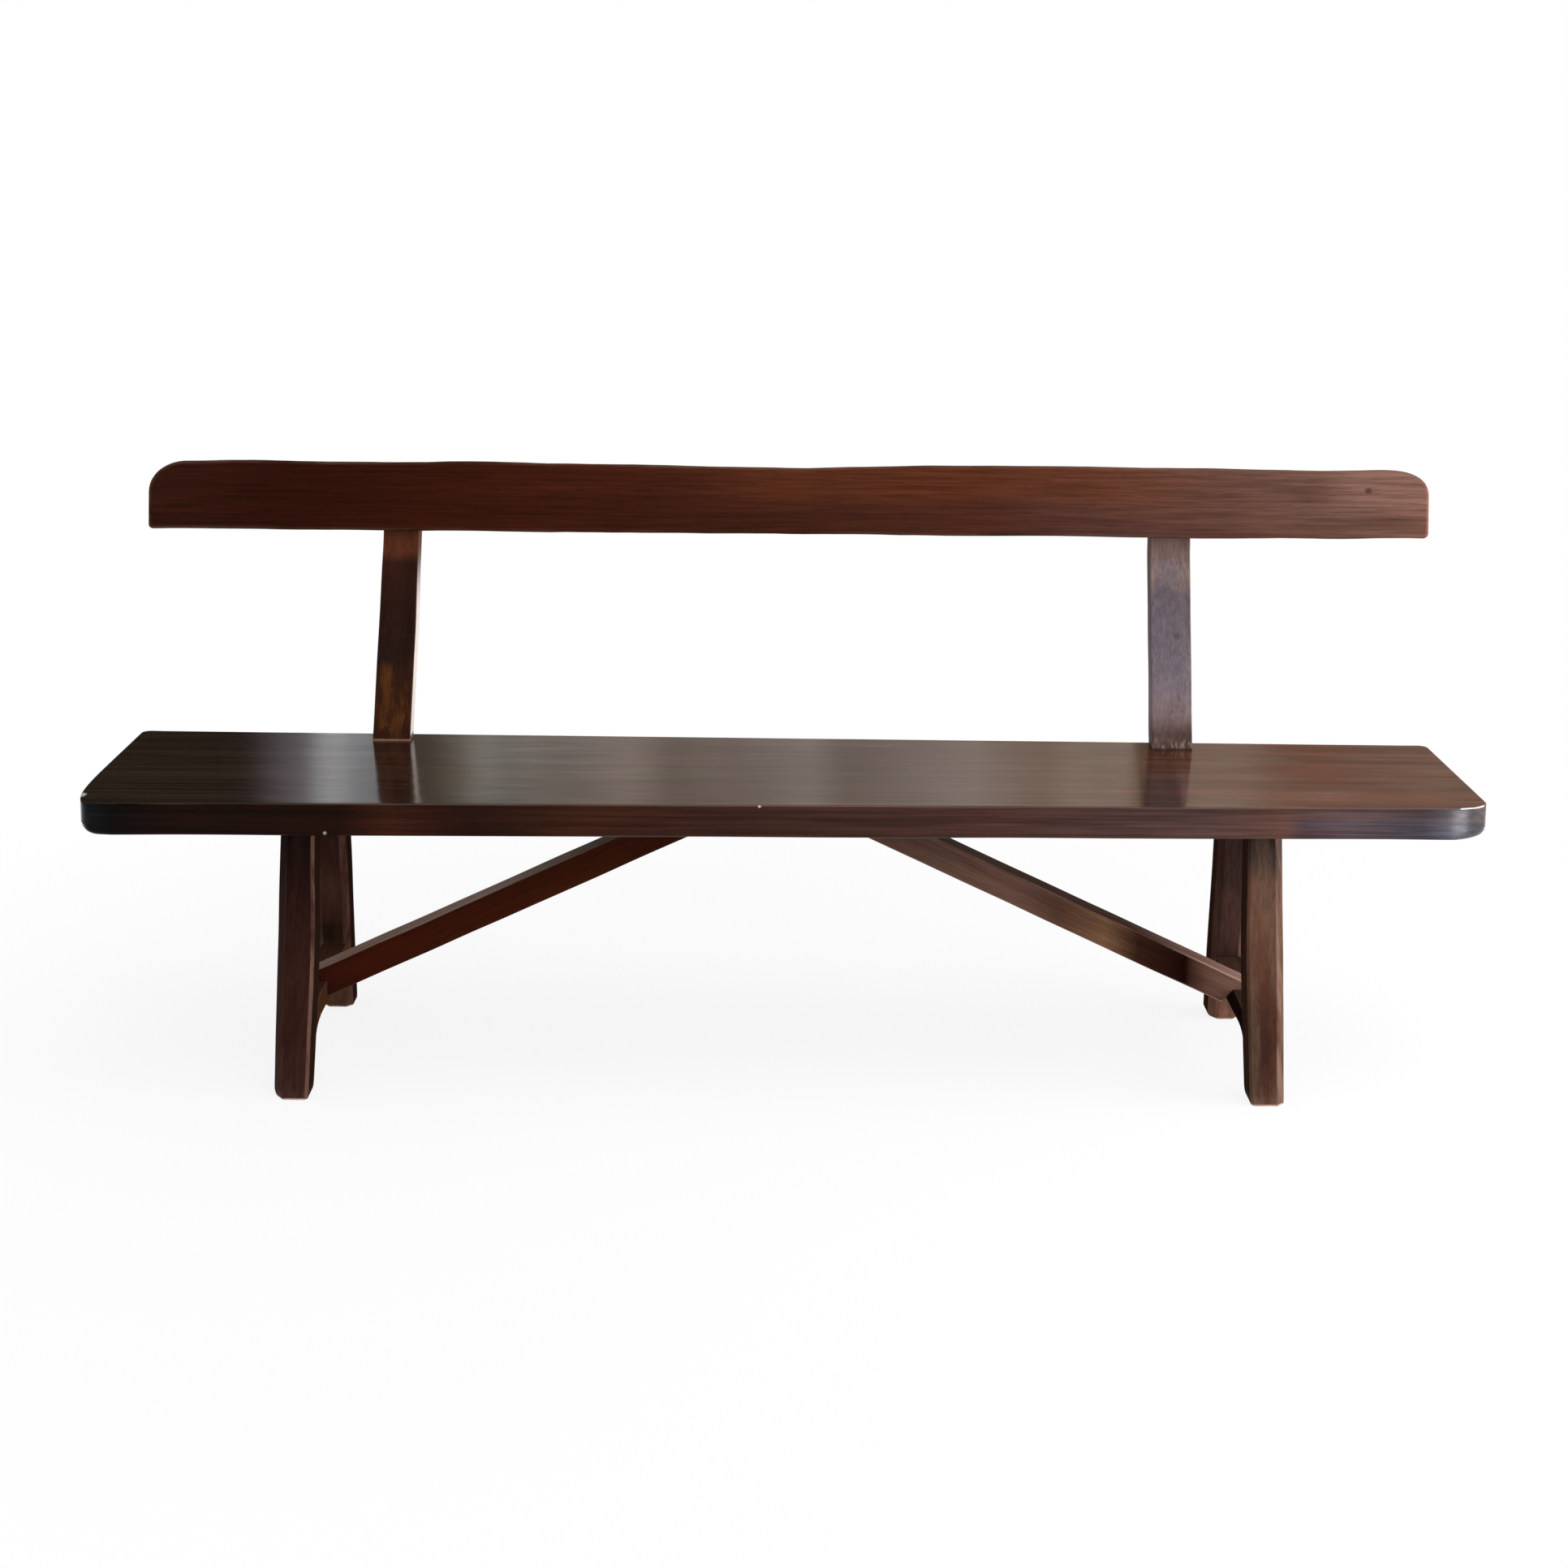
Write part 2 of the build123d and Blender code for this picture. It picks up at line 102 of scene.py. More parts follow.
# Back rail: its rounds go from the lower left corner anticlockwise, its levels from front to back,
# and its top places are shares of its length from the middle and of its depth
rail_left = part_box("back_rail")[0].x
rail_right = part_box("back_rail")[1].x
rail_depth = 0.109
rail_lean = math.radians(8)
rail_setback = 0.2237
rail_front_y = line_y + rail_setback
rail_lower_edge = 0.7513
rail_end_share = {"left": 0.965, "right": 0.987}
rail_rounds = [
    (0.007, 0.007, 0.55, 5),
    (0.008, 0.008, 0.55, 5),
    (0.040, 0.070, 0.68, 14),
    (0.060, 0.048, 0.57, 14),
]
rail_top_places = [
    (-0.425, 0.986), (-0.345, 0.972), (-0.250, 0.990), (-0.110, 0.969), (0.010, 0.950),
    (0.060, 0.962), (0.110, 0.995), (0.180, 0.998), (0.320, 0.990), (0.413, 0.975),
]
rail_levels = [
    (0.0060, 0.0000, 0.0),
    (0.0034, 0.0004, 0.5),
    (0.0014, 0.0017, 1.0),
    (0.0003, 0.0036, 0.5),
    (0.0000, 0.0060, 0.0),
    (0.0000, 0.0150, 0.0),
    (0.0000, 0.0250, 0.0),
    (0.0003, 0.0272, 0.5),
    (0.0012, 0.0290, 1.0),
    (0.0036, 0.0300, 0.0),
]

# Legs: a foot's roundness is given for its left and its right side
leg_width = 0.050
leg_splay = math.radians(10)
leg_level_depth = leg_width / math.cos(leg_splay)
trestle_at = {"left": -0.694, "right": 0.691}
foot_stands_out = 0.005
planed_outer = 0.0115
planed_inner = 0.0042
planed_facing = {"front": 0.0035, "rear": 0.0100}
leg_swell = 0.0040
leg_swell_height = 0.19
leg_swell_spread = 0.12
foot_round = {"front": 0.016, "rear": 0.010}
foot_roundness = {
    ("front", "left"): (0.48, 0.08),
    ("front", "right"): (0.18, 0.03),
    ("rear", "left"): (0.50, 0.05),
    ("rear", "right"): (0.90, 0.30),
}
foot_roundness_in_depth = 0.05
foot_reach = {
    ("front", "left"): 0.205,
    ("front", "right"): 0.196,
    ("rear", "left"): 0.212,
    ("rear", "right"): 0.194,
}

# Cross rails, each with a small haunch at its front end
cross_rail_underside = 0.076
cross_rail_top = 0.109
cross_rail_middle = (cross_rail_top + cross_rail_underside) / 2
cross_rail_width = 0.040
cross_rail_let_in = 0.002
haunch_length_share = 0.28
haunch_depth = 0.006
haunch_width = {"left": 0.0060, "right": 0.0056}

# Braces
brace_depth = 0.0434
brace_width = 0.042
brace_lower_edge = {"left": 0.0856, "right": 0.0812}
brace_tip = {"left": -0.031, "right": 0.0195}
brace_let_in = 0.010
notch_open = {"left": 0.0, "right": 0.018}

# Back posts
post_at = {"left": -0.604, "right": 0.5985}
post_sway = {"left": 0.0073, "right": 0.0025}
post_width = {"left": 0.058, "right": 0.062}
post_thickness = 0.034
post_setback = 0.047
post_knee = 0.288
knee_z = seat_top + post_knee
knee_softness = 0.016
post_below_rail_top = 0.008
rail_proud = 0.014
notch_depth = 0.016
notch_gap = 0.0002
shoulder_gap = 0.0005
left_post_taper = 0.0025

# Tenons, wedges, pegs and screws
tenon_size = (0.036, 0.020, 0.020)
tenon_proud = 0.0004
wedge_size = (0.0048, 0.0196, 0.020)
wedge_proud = 0.0006
peg_profile = [(0, -0.036), (0.004, -0.036), (0.004, 0.0002), (0.0036, 0.0009), (0.002, 0.0014), (0, 0.0016)]
screw_head = 0.0045
screw_rim = 0.0006
screw_neck = 0.0035
screw_shank = 0.00225
slot_width = 0.0011
slot_depth = 0.0009
rail_screw_inset = 0.027
head_screw_inset = 0.045

# The small rounds on the arrises
leg_arris = 0.0010
cross_rail_arris = 0.0022
brace_arris = 0.0026
post_arris = 0.002
tenon_arris = 0.0009
wedge_arris = 0.0005

# How far planing by hand leaves each piece off true
seat_wander = 0.0005
seat_lower_wander = 0.0009
rail_wander = 0.0013
rail_fine_wander = 0.0004
rail_face_wander = 0.0008
leg_wander = 0.0007
cross_rail_wander = 0.0007
brace_wander = 0.0007
brace_edge_wander = 0.0008
post_wander = 0.0008
post_face_wander = 0.0006

# What the polish reflects: red, green and blue of the walls at places along the bench
wall_radius = 2.6
wall_height = 7.0
walls_behind = [
    (-2.6, 0.00, 0.00, 0.00), (-1.31, 0.00, 0.00, 0.00), (-1.24, 0.20, 0.18, 0.21),
    (-1.17, 0.37, 0.33, 0.36), (-1.145, 0.96, 0.99, 1.00), (-1.10, 0.98, 1.00, 1.00),
    (-1.07, 0.66, 0.69, 0.74), (-1.01, 0.66, 0.68, 0.70), (-0.98, 0.23, 0.22, 0.21),
    (-0.90, 0.11, 0.10, 0.08), (-0.83, 0.29, 0.27, 0.21), (-0.76, 0.54, 0.53, 0.48),
    (-0.70, 0.44, 0.44, 0.40), (-0.62, 0.56, 0.52, 0.46), (-0.52, 0.52, 0.47, 0.43),
    (-0.40, 0.70, 0.60, 0.54), (-0.28, 0.38, 0.33, 0.29), (-0.12, 0.42, 0.36, 0.33),
    (0.09, 0.62, 0.57, 0.52), (0.17, 0.42, 0.38, 0.34), (0.30, 0.54, 0.48, 0.44),
    (0.50, 0.60, 0.55, 0.50), (0.68, 0.45, 0.37, 0.29), (0.80, 0.59, 0.50, 0.41),
    (0.898, 0.63, 0.53, 0.45), (0.925, 0.20, 0.14, 0.09), (0.965, 0.20, 0.14, 0.09),
    (1.05, 0.50, 0.40, 0.33), (1.18, 0.44, 0.37, 0.32), (1.28, 0.24, 0.17, 0.13),
    (1.42, 0.20, 0.16, 0.14), (2.6, 0.42, 0.37, 0.34),
]
walls_in_front = [
    (-2.6, 0.02, 0.02, 0.02), (-0.6, 0.05, 0.05, 0.05), (0.6, 0.14, 0.14, 0.14),
    (1.6, 0.5, 0.5, 0.5), (2.6, 0.6, 0.6, 0.6),
]


def rise(value, start, length):
    """How far a value has come from a start over a length, from 0 to 1."""
    return min(max((value - start) / length, 0), 1)


def hump(value, middle, spread):
    """One at a middle, falling away softly on both sides."""
    return math.exp(-((value - middle) / spread) ** 2)


def put_in_scene(name, data):
    """An object in the scene, from its mesh, lamp or camera data."""
    made = bpy.data.objects.new(name, data)
    bpy.context.scene.collection.objects.link(made)
    return made


def made_of(material, name, shape):
    """An object from its worked shape, in one material."""
    mesh = bpy.data.meshes.new(name)
    shape.to_mesh(mesh)
    shape.free()
    mesh.materials.append(material)
    return put_in_scene(name, mesh)


def finished(name, shape, material, slot, *nodes):
    """A piece of the bench from its worked shape, in place of its solids."""
    bmesh.ops.recalc_face_normals(shape, faces=shape.faces[:])
    shape.normal_update()
    faces_up = shape.verts.layers.float.new("faces_up")
    faces_along = shape.verts.layers.float.new("faces_along")
    for vertex in shape.verts:
        vertex[faces_up] = vertex.normal.z
        vertex[faces_along] = abs(vertex.normal.x)
    piece = made_of(material, name, shape)
    piece.data.shade_smooth()
    piece.data.set_sharp_from_angle(angle=math.radians(48))
    shading = piece.modifiers.new("Even shading", "WEIGHTED_NORMAL")
    shading.keep_sharp = True
    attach(piece, "root")
    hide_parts(*nodes)


def wrapped(columns, rows, place):
    """A closed skin from a grid, columns round it and rows along it; place gives a point and its wear."""
    shape = bmesh.new()
    worn = shape.verts.layers.float.new("worn")
    bmesh.ops.create_grid(shape, x_segments=columns, y_segments=rows - 1, size=1)
    for vertex in shape.verts:
        column = round((vertex.co.x + 1) / 2 * columns) % columns
        row = round((vertex.co.y + 1) / 2 * (rows - 1))
        vertex.co, vertex[worn] = place(column, row)
    bmesh.ops.remove_doubles(shape, verts=shape.verts[:], dist=1e-6)
    rims = [edge for edge in shape.edges if edge.is_boundary]
    bmesh.ops.holes_fill(shape, edges=rims, sides=0)
    return shape


def between(start, finish, parts):
    """Points from start up to, but not including, finish."""
    return [start.lerp(finish, part / parts) for part in range(parts)]


def soft_corner(before, corner, after, reach_before, reach_after, pull, parts):
    """Points round a corner that leaves both of its edges in their own direction."""
    start = corner + (before - corner).normalized() * reach_before
    finish = corner + (after - corner).normalized() * reach_after
    first = start.lerp(corner, pull)
    second = finish.lerp(corner, pull)
    points = []
    for part in range(parts + 1):
        t = part / parts
        points.append(
            start * (1 - t) ** 3 + first * 3 * (1 - t) ** 2 * t
            + second * 3 * (1 - t) * t ** 2 + finish * t ** 3
        )
    return points


def rounds_at(corners, rounds):
    """The points of the round at each corner of an outline."""
    arcs = []
    for number, corner in enumerate(corners):
        before = corners[number - 1]
        after = corners[(number + 1) % len(corners)]
        arcs.append(soft_corner(before, corner, after, *rounds[number]))
    return arcs


def rounded(corners, radius, parts=4):
    """A closed outline with a small round at each corner, each point with how worn it is."""
    points = []
    for arc in rounds_at(corners, [(radius, radius, 0.55, parts)] * len(corners)):
        points += [(point, math.sin(math.pi * part / parts)) for part, point in enumerate(arc)]
    return points


def box_section(width, low, high, radius):
    """A rectangular section with eased arrises, each point with how worn it is."""
    half = width / 2
    corners = [(-half, low), (half, low), (half, high), (-half, high)]
    return rounded([Vector(corner) for corner in corners], radius)


def inward_normals(outline):
    """For each point of an outline that runs anticlockwise, the direction to its inside."""
    normals = []
    for number, point in enumerate(outline):
        chord = outline[(number + 1) % len(outline)] - outline[number - 1]
        normals.append(Vector((-chord.y, chord.x)).normalized())
    return normals


def seat_outline():
    """The seat from above: wide round corners at the front, small ones at the back."""
    corners = [
        Vector((-seat_half, -seat_front["left"])),
        Vector((seat_half, -seat_front["right"])),
        Vector((seat_half, seat_back["right"])),
        Vector((-seat_half, seat_back["left"])),
    ]
    arcs = rounds_at(corners, [front_round["left"], front_round["right"], back_round, back_round])
    outline = []
    for number, arc in enumerate(arcs):
        following = arcs[(number + 1) % len(arcs)]
        gap = (following[0] - arc[-1]).length
        outline += arc[:-1] + between(arc[-1], following[0], max(2, round(gap / 0.02)))
    return outline


def make_seat(material):
    """The seat plank, its long edges a little wavy and its lower arris rounder than the upper one."""
    outline = seat_outline()
    normals = inward_normals(outline)

    def place(column, row):
        inset, height, wear = seat_levels[row]
        edge = outline[column]
        if height < 0.01 and edge.y < 0:
            side = "left" if edge.x < 0 else "right"
            near_end = rise(abs(edge.x), lower_arris_from, lower_arris_run)
            inset *= 1 + lower_arris_widens[side] * near_end
            height *= 1 + lower_arris_lifts[side] * near_end
        if height > 0.044 and abs(edge.x) > end_arris_from:
            inset *= end_arris_share
        wander = noise.noise(Vector((edge.x * 7, edge.y * 2, 3.1))) * seat_wander + 0.0004
        rough = noise.noise(Vector((edge.x * 4.5, edge.y, 8.7))) * seat_lower_wander + 0.0002
        away_from_end = 1 - rise(abs(edge.x), planing_fades_from, planing_fades_over)
        lower = 1 - height / (seat_top - seat_underside)
        point = edge + normals[column] * (inset + wander * away_from_end)
        height += max(rough, 0) * lower * away_from_end
        return Vector((point.x, line_y + point.y, seat_underside + height)), wear

    shape = wrapped(len(outline), len(seat_levels), place)
    finished("seat_plank_wood", shape, material, "seat_wood", "seat_plank")


def curve_through(places, x):
    """The height of a smooth curve through places at x."""
    for number in range(len(places) - 1):
        if places[number][0] <= x <= places[number + 1][0]:
            x1, y1 = places[number]
            x2, y2 = places[number + 1]
            x0, y0 = places[max(number - 1, 0)]
            x3, y3 = places[min(number + 2, len(places) - 1)]
            t = (x - x1) / (x2 - x1)
            m1 = (y2 - y0) / (x2 - x0) * (x2 - x1)
            m2 = (y3 - y1) / (x3 - x1) * (x2 - x1)
            return (
                y1 * (2 * t ** 3 - 3 * t ** 2 + 1) + m1 * (t ** 3 - 2 * t ** 2 + t)
                + y2 * (3 * t ** 2 - 2 * t ** 3) + m2 * (t ** 3 - t ** 2)
            )
    return places[0][1] if x < places[0][0] else places[-1][1]


def rail_outline():
    """The rail's front face: wavy top, round upper corners, small lower ones."""
    corners = [
        Vector((rail_left, 0)),
        Vector((rail_right, 0)),
        Vector((rail_right, rail_end_share["right"] * rail_depth)),
        Vector((rail_left, rail_end_share["left"] * rail_depth)),
    ]
    lower_left, lower_right, upper_right, upper_left = rounds_at(corners, rail_rounds)
    length = rail_right - rail_left
    middle = (rail_right + rail_left) / 2
    places = [(upper_left[0].x, upper_left[0].y)]
    places += [(middle + x * length, y * rail_depth) for x, y in rail_top_places]
    places += [(upper_right[-1].x, upper_right[-1].y)]
    top = []
    for point in between(upper_right[-1], upper_left[0], 110):
        top.append(Vector((point.x, curve_through(places, point.x))))
    bottom = lower_left[:-1] + between(lower_left[-1], lower_right[0], 80)
    right = lower_right[:-1] + between(lower_right[-1], upper_right[0], 3)
    left = upper_left[:-1] + between(upper_left[-1], lower_left[0], 3)
    return bottom + right + upper_right[:-1] + top + left


def on_rail(x, height, behind):
    """A place on or behind the rail's leaning front face."""
    return Vector((
        x,
        rail_front_y + height * math.sin(rail_lean) + behind * math.cos(rail_lean),
        rail_lower_edge + height * math.cos(rail_lean) - behind * math.sin(rail_lean),
    ))


def make_rail(material):
    """The back rail, built up level by level and planed by hand: its edges wander by about a millimetre."""
    outline = rail_outline()
    normals = inward_normals(outline)

    def place(column, row):
        inset, behind, wear = rail_levels[row]
        x, height = outline[column] + normals[column] * inset
        wander = noise.noise(Vector((x * 9, height * 4, 1.7))) * rail_wander
        fine = noise.noise(Vector((x * 31, height * 4, 5.2))) * rail_fine_wander
        if height < 0.02:
            fine += 0.0024 * rise(x, 0.86, 0.12) - 0.0016 * hump(x, 0.64, 0.05)
        flatness = noise.noise(Vector((x * 3, 2.2, 0.4))) * rail_face_wander
        return on_rail(x, height + wander + fine, behind + flatness), wear

    shape = wrapped(len(outline), len(rail_levels), place)
    finished("back_rail_wood", shape, material, "rail_wood", "back_rail")


def leg_centre(end, side, height):
    """The centre of a leg's level section at a height."""
    foot_y = rearward[end] * (foot_reach[end, side] - leg_level_depth / 2)
    y = foot_y - rearward[end] * math.tan(leg_splay) * height
    x = trestle_at[side] + outward[side] * foot_stands_out * (1 - height / seat_underside)
    return Vector((x, line_y + y, height))


def leg_section(end, side):
    """A leg's section with its arrises planed off; the flat at its right front is painted pale, as lit from
    the right, through its wear.
    """
    half = leg_width / 2
    corners = []
    for x_sign, y_sign in [(-1, -1), (1, -1), (1, 1), (-1, 1)]:
        outer = x_sign == outward[side]
        facing = y_sign != rearward[end]
        cut = planed_outer if outer else planed_inner
        if facing and not (outer and end == "rear"):
            cut = planed_facing[end]
        corner = Vector((x_sign * half, y_sign * half))
        pair = [corner + Vector((0, -y_sign * cut)), corner + Vector((-x_sign * cut, 0))]
        corners += pair if x_sign == y_sign else pair[::-1]
    section = []
    for number, (point, wear) in enumerate(rounded(corners, leg_arris, parts=3)):
        corner, part = divmod(number, 4)
        # Painted light: the right front flat takes the rubbed pale colour, standing for light from the right
        painted_lit_flat = corner == 2 and part >= 1 or corner == 3 and part <= 2
        section.append((point, 1.0 if painted_lit_flat else wear * 0.35))
    return section


def make_leg(end, side, material):
    """A splayed leg with its foot rounded off above the level cut."""
    section = leg_section(end, side)
    radius = foot_round[end]
    levels = [radius * (1 - math.cos(math.radians(angle))) for angle in range(0, 91, 10)]
    levels += [radius + (seat_underside - radius) * part / 26 for part in range(1, 27)]
    seed = 3.3 * outward[side] + 7.7 * rearward[end]

    def place(column, row):
        height = levels[row]
        point, wear = section[column]
        shrink = 0
        if height < radius:
            below = radius - height
            shrink = (radius - math.sqrt(radius ** 2 - below ** 2)) / (leg_width / 2)
            wear = max(wear, 0.6 * below / radius)
        share = foot_roundness[end, side][0 if point.x < 0 else 1]
        x = point.x * (1 - share * shrink)
        y = point.y * (1 - foot_roundness_in_depth * shrink) / math.cos(leg_splay)
        where = leg_centre(end, side, height) + Vector((x, y, 0))
        swelling = outward[side] * rearward[end]
        if point.x * swelling > 0:
            where.x += swelling * leg_swell * hump(height, leg_swell_height, leg_swell_spread)
        if 0 < row < len(levels) - 1:
            drift = noise.noise_vector(where * 11 + Vector((seed, seed, seed)))
            where += Vector((drift.x, drift.y, 0)) * leg_wander
        return where, wear

    shape = wrapped(len(section), len(levels), place)
    name = "leg_" + end + "_" + side
    finished(name + "_wood", shape, material, "frame_wood", name)


def make_cross_rail(side, material):
    """A cross rail between its two legs, its ends following their splay."""
    half_height = (cross_rail_top - cross_rail_underside) / 2
    section = box_section(cross_rail_width, -half_height, half_height, cross_rail_arris)
    rows = 18

    def end_y(end, height):
        return leg_centre(end, side, height).y - rearward[end] * (leg_level_depth / 2 - cross_rail_let_in)

    def place(column, row):
        point, wear = section[column]
        height = cross_rail_middle + point.y
        front = end_y("front", height)
        share = row / (rows - 1)
        x = leg_centre("front", side, cross_rail_middle).x + point.x
        where = Vector((x, front + (end_y("rear", height) - front) * share, height))
        flare = max(0, 1 - share / haunch_length_share) ** 2
        if point.y < 0:
            where.z -= haunch_depth * flare
        if point.x * outward[side] < 0:
            where.x -= outward[side] * haunch_width[side] * flare
        drift = noise.noise_vector(where * 13)
        return where + Vector((drift.x, 0, drift.z)) * cross_rail_wander, wear

    shape = wrapped(len(section), rows, place)
    name = "cross_rail_" + side
    finished(name + "_wood", shape, material, "frame_wood", name)


def brace_line(side):
    """Where a brace starts at its cross rail, how far it runs to its tip, and its slope."""
    start = leg_centre("front", side, cross_rail_middle).x - outward[side] * cross_rail_width / 2
    run = abs(start - brace_tip[side])
    return start, run, (seat_underside - brace_lower_edge[side]) / run


def brace_stations(side, head_run, run):
    """Places along a brace, each with whether it is in the notch over the cross rail."""
    heel = notch_open[side]
    stations = [(-cross_rail_width, True), (-cross_rail_width * 0.5, True), (-0.0001, True)]
    stations += [(heel * share, True) for share in (0.3, 0.7, 1)] if heel else [(0, False)]
    first = heel + 0.004
    stations += [(first + (head_run - first) * part / 34, False) for part in range(34)]
    stations += [(head_run + (run - head_run) * part / 8, False) for part in range(9)]
    return stations


def make_brace(side, material):
    """A brace with plumb sections, its head cut level in the seat, its foot notched over the cross rail."""
    start, run, slope = brace_line(side)
    low = brace_lower_edge[side]
    plumb_depth = brace_depth / math.cos(math.atan(slope))
    head = seat_underside + brace_let_in
    heel = notch_open[side]
    section = box_section(brace_width, 0, plumb_depth, brace_arris)
    stations = brace_stations(side, (head - low - plumb_depth) / slope, run)

    def place(column, row):
        along, notched = stations[row]
        point, wear = section[column]
        height = low + slope * along + point.y
        floor = 0
        if notched and along <= 0:
            floor = cross_rail_top
        elif notched:
            floor = cross_rail_top + (low + slope * heel - cross_rail_top) * along / heel
        where = Vector((start - outward[side] * along, line_y + point.x, min(max(height, floor), head)))
        drift = noise.noise_vector(where * 12 + Vector((outward[side] * 5, 0, 0)))
        if where.z < head and not notched:
            where.z += drift.z * brace_edge_wander
        where.y += drift.y * brace_wander
        return where, wear

    shape = wrapped(len(section), len(stations), place)
    name = "brace_" + side
    finished(name + "_wood", shape, material, "frame_wood", name)


def bent(below, above, height, knee):
    """The line below a knee passing softly into the line above it."""
    turn = rise(height, knee - knee_softness, 2 * knee_softness)
    return below + (above - below) * turn * turn * (3 - 2 * turn)


def post_faces(side, height):
    """Where a post's front and back faces are at a height, from the centre line."""
    across = (post_at[side] + seat_half) / (2 * seat_half)
    foot = seat_back["left"] + (seat_back["right"] - seat_back["left"]) * across - post_setback
    knee = rail_setback + rail_proud / math.cos(rail_lean) + (knee_z - rail_lower_edge) * math.tan(rail_lean)
    lean = math.atan2(knee - foot, post_knee)
    below = foot + (height - seat_top) * math.tan(lean)
    above = knee + (height - knee_z) * math.tan(rail_lean)
    mitre = post_thickness / math.cos((lean - rail_lean) / 2)
    back_knee = knee_z - mitre * math.sin((lean + rail_lean) / 2)
    back_below = below + post_thickness / math.cos(lean)
    back_above = above + post_thickness / math.cos(rail_lean)
    return bent(below, above, height, knee_z), bent(back_below, back_above, height, back_knee)


def make_post(side, material):
    """A back post: it leans to its knee, then stands steeper and is notched behind the rail."""
    section = box_section(post_width[side], 0, post_thickness, post_arris)
    shoulder = rail_lower_edge + shoulder_gap - notch_depth * math.sin(rail_lean)
    top = rail_lower_edge + (rail_depth - post_below_rail_top) * math.cos(rail_lean)
    rows = [(seat_top + (shoulder - seat_top) * part / 22, False) for part in range(23)]
    rows += [(shoulder + 0.0003 + (top - shoulder) * part / 6, True) for part in range(7)]

    def place(column, row):
        height, notched = rows[row]
        point, wear = section[column]
        front, back = post_faces(side, height)
        if notched:
            front += (notch_depth + notch_gap) / math.cos(rail_lean)
        x = post_at[side] + post_sway[side] * (height - seat_top) / post_knee + point.x
        y = line_y + front + (back - front) * point.y / post_thickness
        if side == "left" and point.x > 0:
            x -= left_post_taper * rise(height, 0.60, 0.12)
        if row == len(rows) - 1:
            drop = (y - line_y - front) * math.tan(rail_lean)
            height -= drop
            y -= drop * math.tan(rail_lean)
        where = Vector((x, y, height))
        if 0 < row < len(rows) - 1:
            drift = noise.noise_vector(where * 10 + Vector((0, outward[side] * 4, 0)))
            where += Vector((drift.x * post_wander, (drift.y - 0.7) * post_face_wander, 0))
        where.y = min(where.y, solids_high.y - 0.0001)
        return where, wear

    shape = wrapped(len(section), len(rows), place)
    add_tenon_end(shape, side, tenon_size, tenon_proud, tenon_arris)
    name = "back_post_" + side
    finished(name + "_wood", shape, material, "frame_wood", name)


def lay_along(origin, z_axis, x_axis):
    """A placement with its own Z along one direction and its X near another."""
    z = Vector(z_axis).normalized()
    y = z.cross(Vector(x_axis)).normalized()
    rotation = Matrix((y.cross(z), y, z)).transposed().to_4x4()
    return Matrix.Translation(origin) @ rotation


def add_turned(shape, profile, placement, steps=28):
    """Adds a turned body: a profile of (radius, height) spun round its own Z."""
    start = [shape.verts.new((radius, 0, height)) for radius, height in profile]
    rim = [shape.edges.new(pair) for pair in zip(start, start[1:])]
    before = set(shape.verts) - set(start)
    bmesh.ops.spin(
        shape, geom=start + rim, cent=(0, 0, 0), axis=(0, 0, 1), dvec=(0, 0, 0),
        angle=2 * math.pi, steps=steps, use_merge=True, use_normal_flip=False, use_duplicate=False,
    )
    made = [vertex for vertex in shape.verts if vertex not in before]
    bmesh.ops.remove_doubles(shape, verts=made, dist=1e-6)
    made = [vertex for vertex in shape.verts if vertex not in before]
    bmesh.ops.transform(shape, matrix=placement, verts=made)


def add_block(shape, size, placement, ease):
    """Adds a small block with eased edges."""
    made = bmesh.ops.create_cube(shape, size=1)["verts"]
    bmesh.ops.scale(shape, vec=size, verts=made)
    edges = list({edge for vertex in made for edge in vertex.link_edges})
    eased = bmesh.ops.bevel(
        shape, geom=edges, offset=ease, segments=2, profile=0.5, affect="EDGES", material=-1,
    )["verts"]
    bmesh.ops.transform(shape, matrix=placement, verts=list(set(made + eased) & set(shape.verts)))


def add_tenon_end(shape, side, size, proud, ease):
    """Adds the end of a post's tenon, or of the wedge across it, where it shows under the seat."""
    width, depth, height = size
    front, back = post_faces(side, seat_underside)
    stretch = (back - front) / post_thickness
    x = post_at[side] - post_sway[side] * (seat_top - seat_underside) / post_knee
    middle = (x, line_y + (front + back) / 2, seat_underside + height / 2 - proud)
    add_block(shape, (width, depth * stretch, height), Matrix.Translation(middle), ease)


def make_tenon_wedges(material):
    """The wedges across the posts' tenons, seen from below."""
    shape = bmesh.new()
    for side in outward:
        add_tenon_end(shape, side, wedge_size, wedge_proud, wedge_arris)
    finished("post_tenon_wedges_wood", shape, material, "wedge_wood", "post_tenon_wedges")


def make_pegs(material):
    """The pegs through the legs and the cross rails' tenons, their ends a little proud and domed."""
    shape = bmesh.new()
    for side in outward:
        for end in rearward:
            face = leg_centre(end, side, cross_rail_middle) + Vector((outward[side] * leg_width / 2, 0, 0))
            add_turned(shape, peg_profile, lay_along(face, (outward[side], 0, 0), (0, 0, 1)))
    finished("cross_rail_pegs_wood", shape, material, "wedge_wood", "cross_rail_pegs")


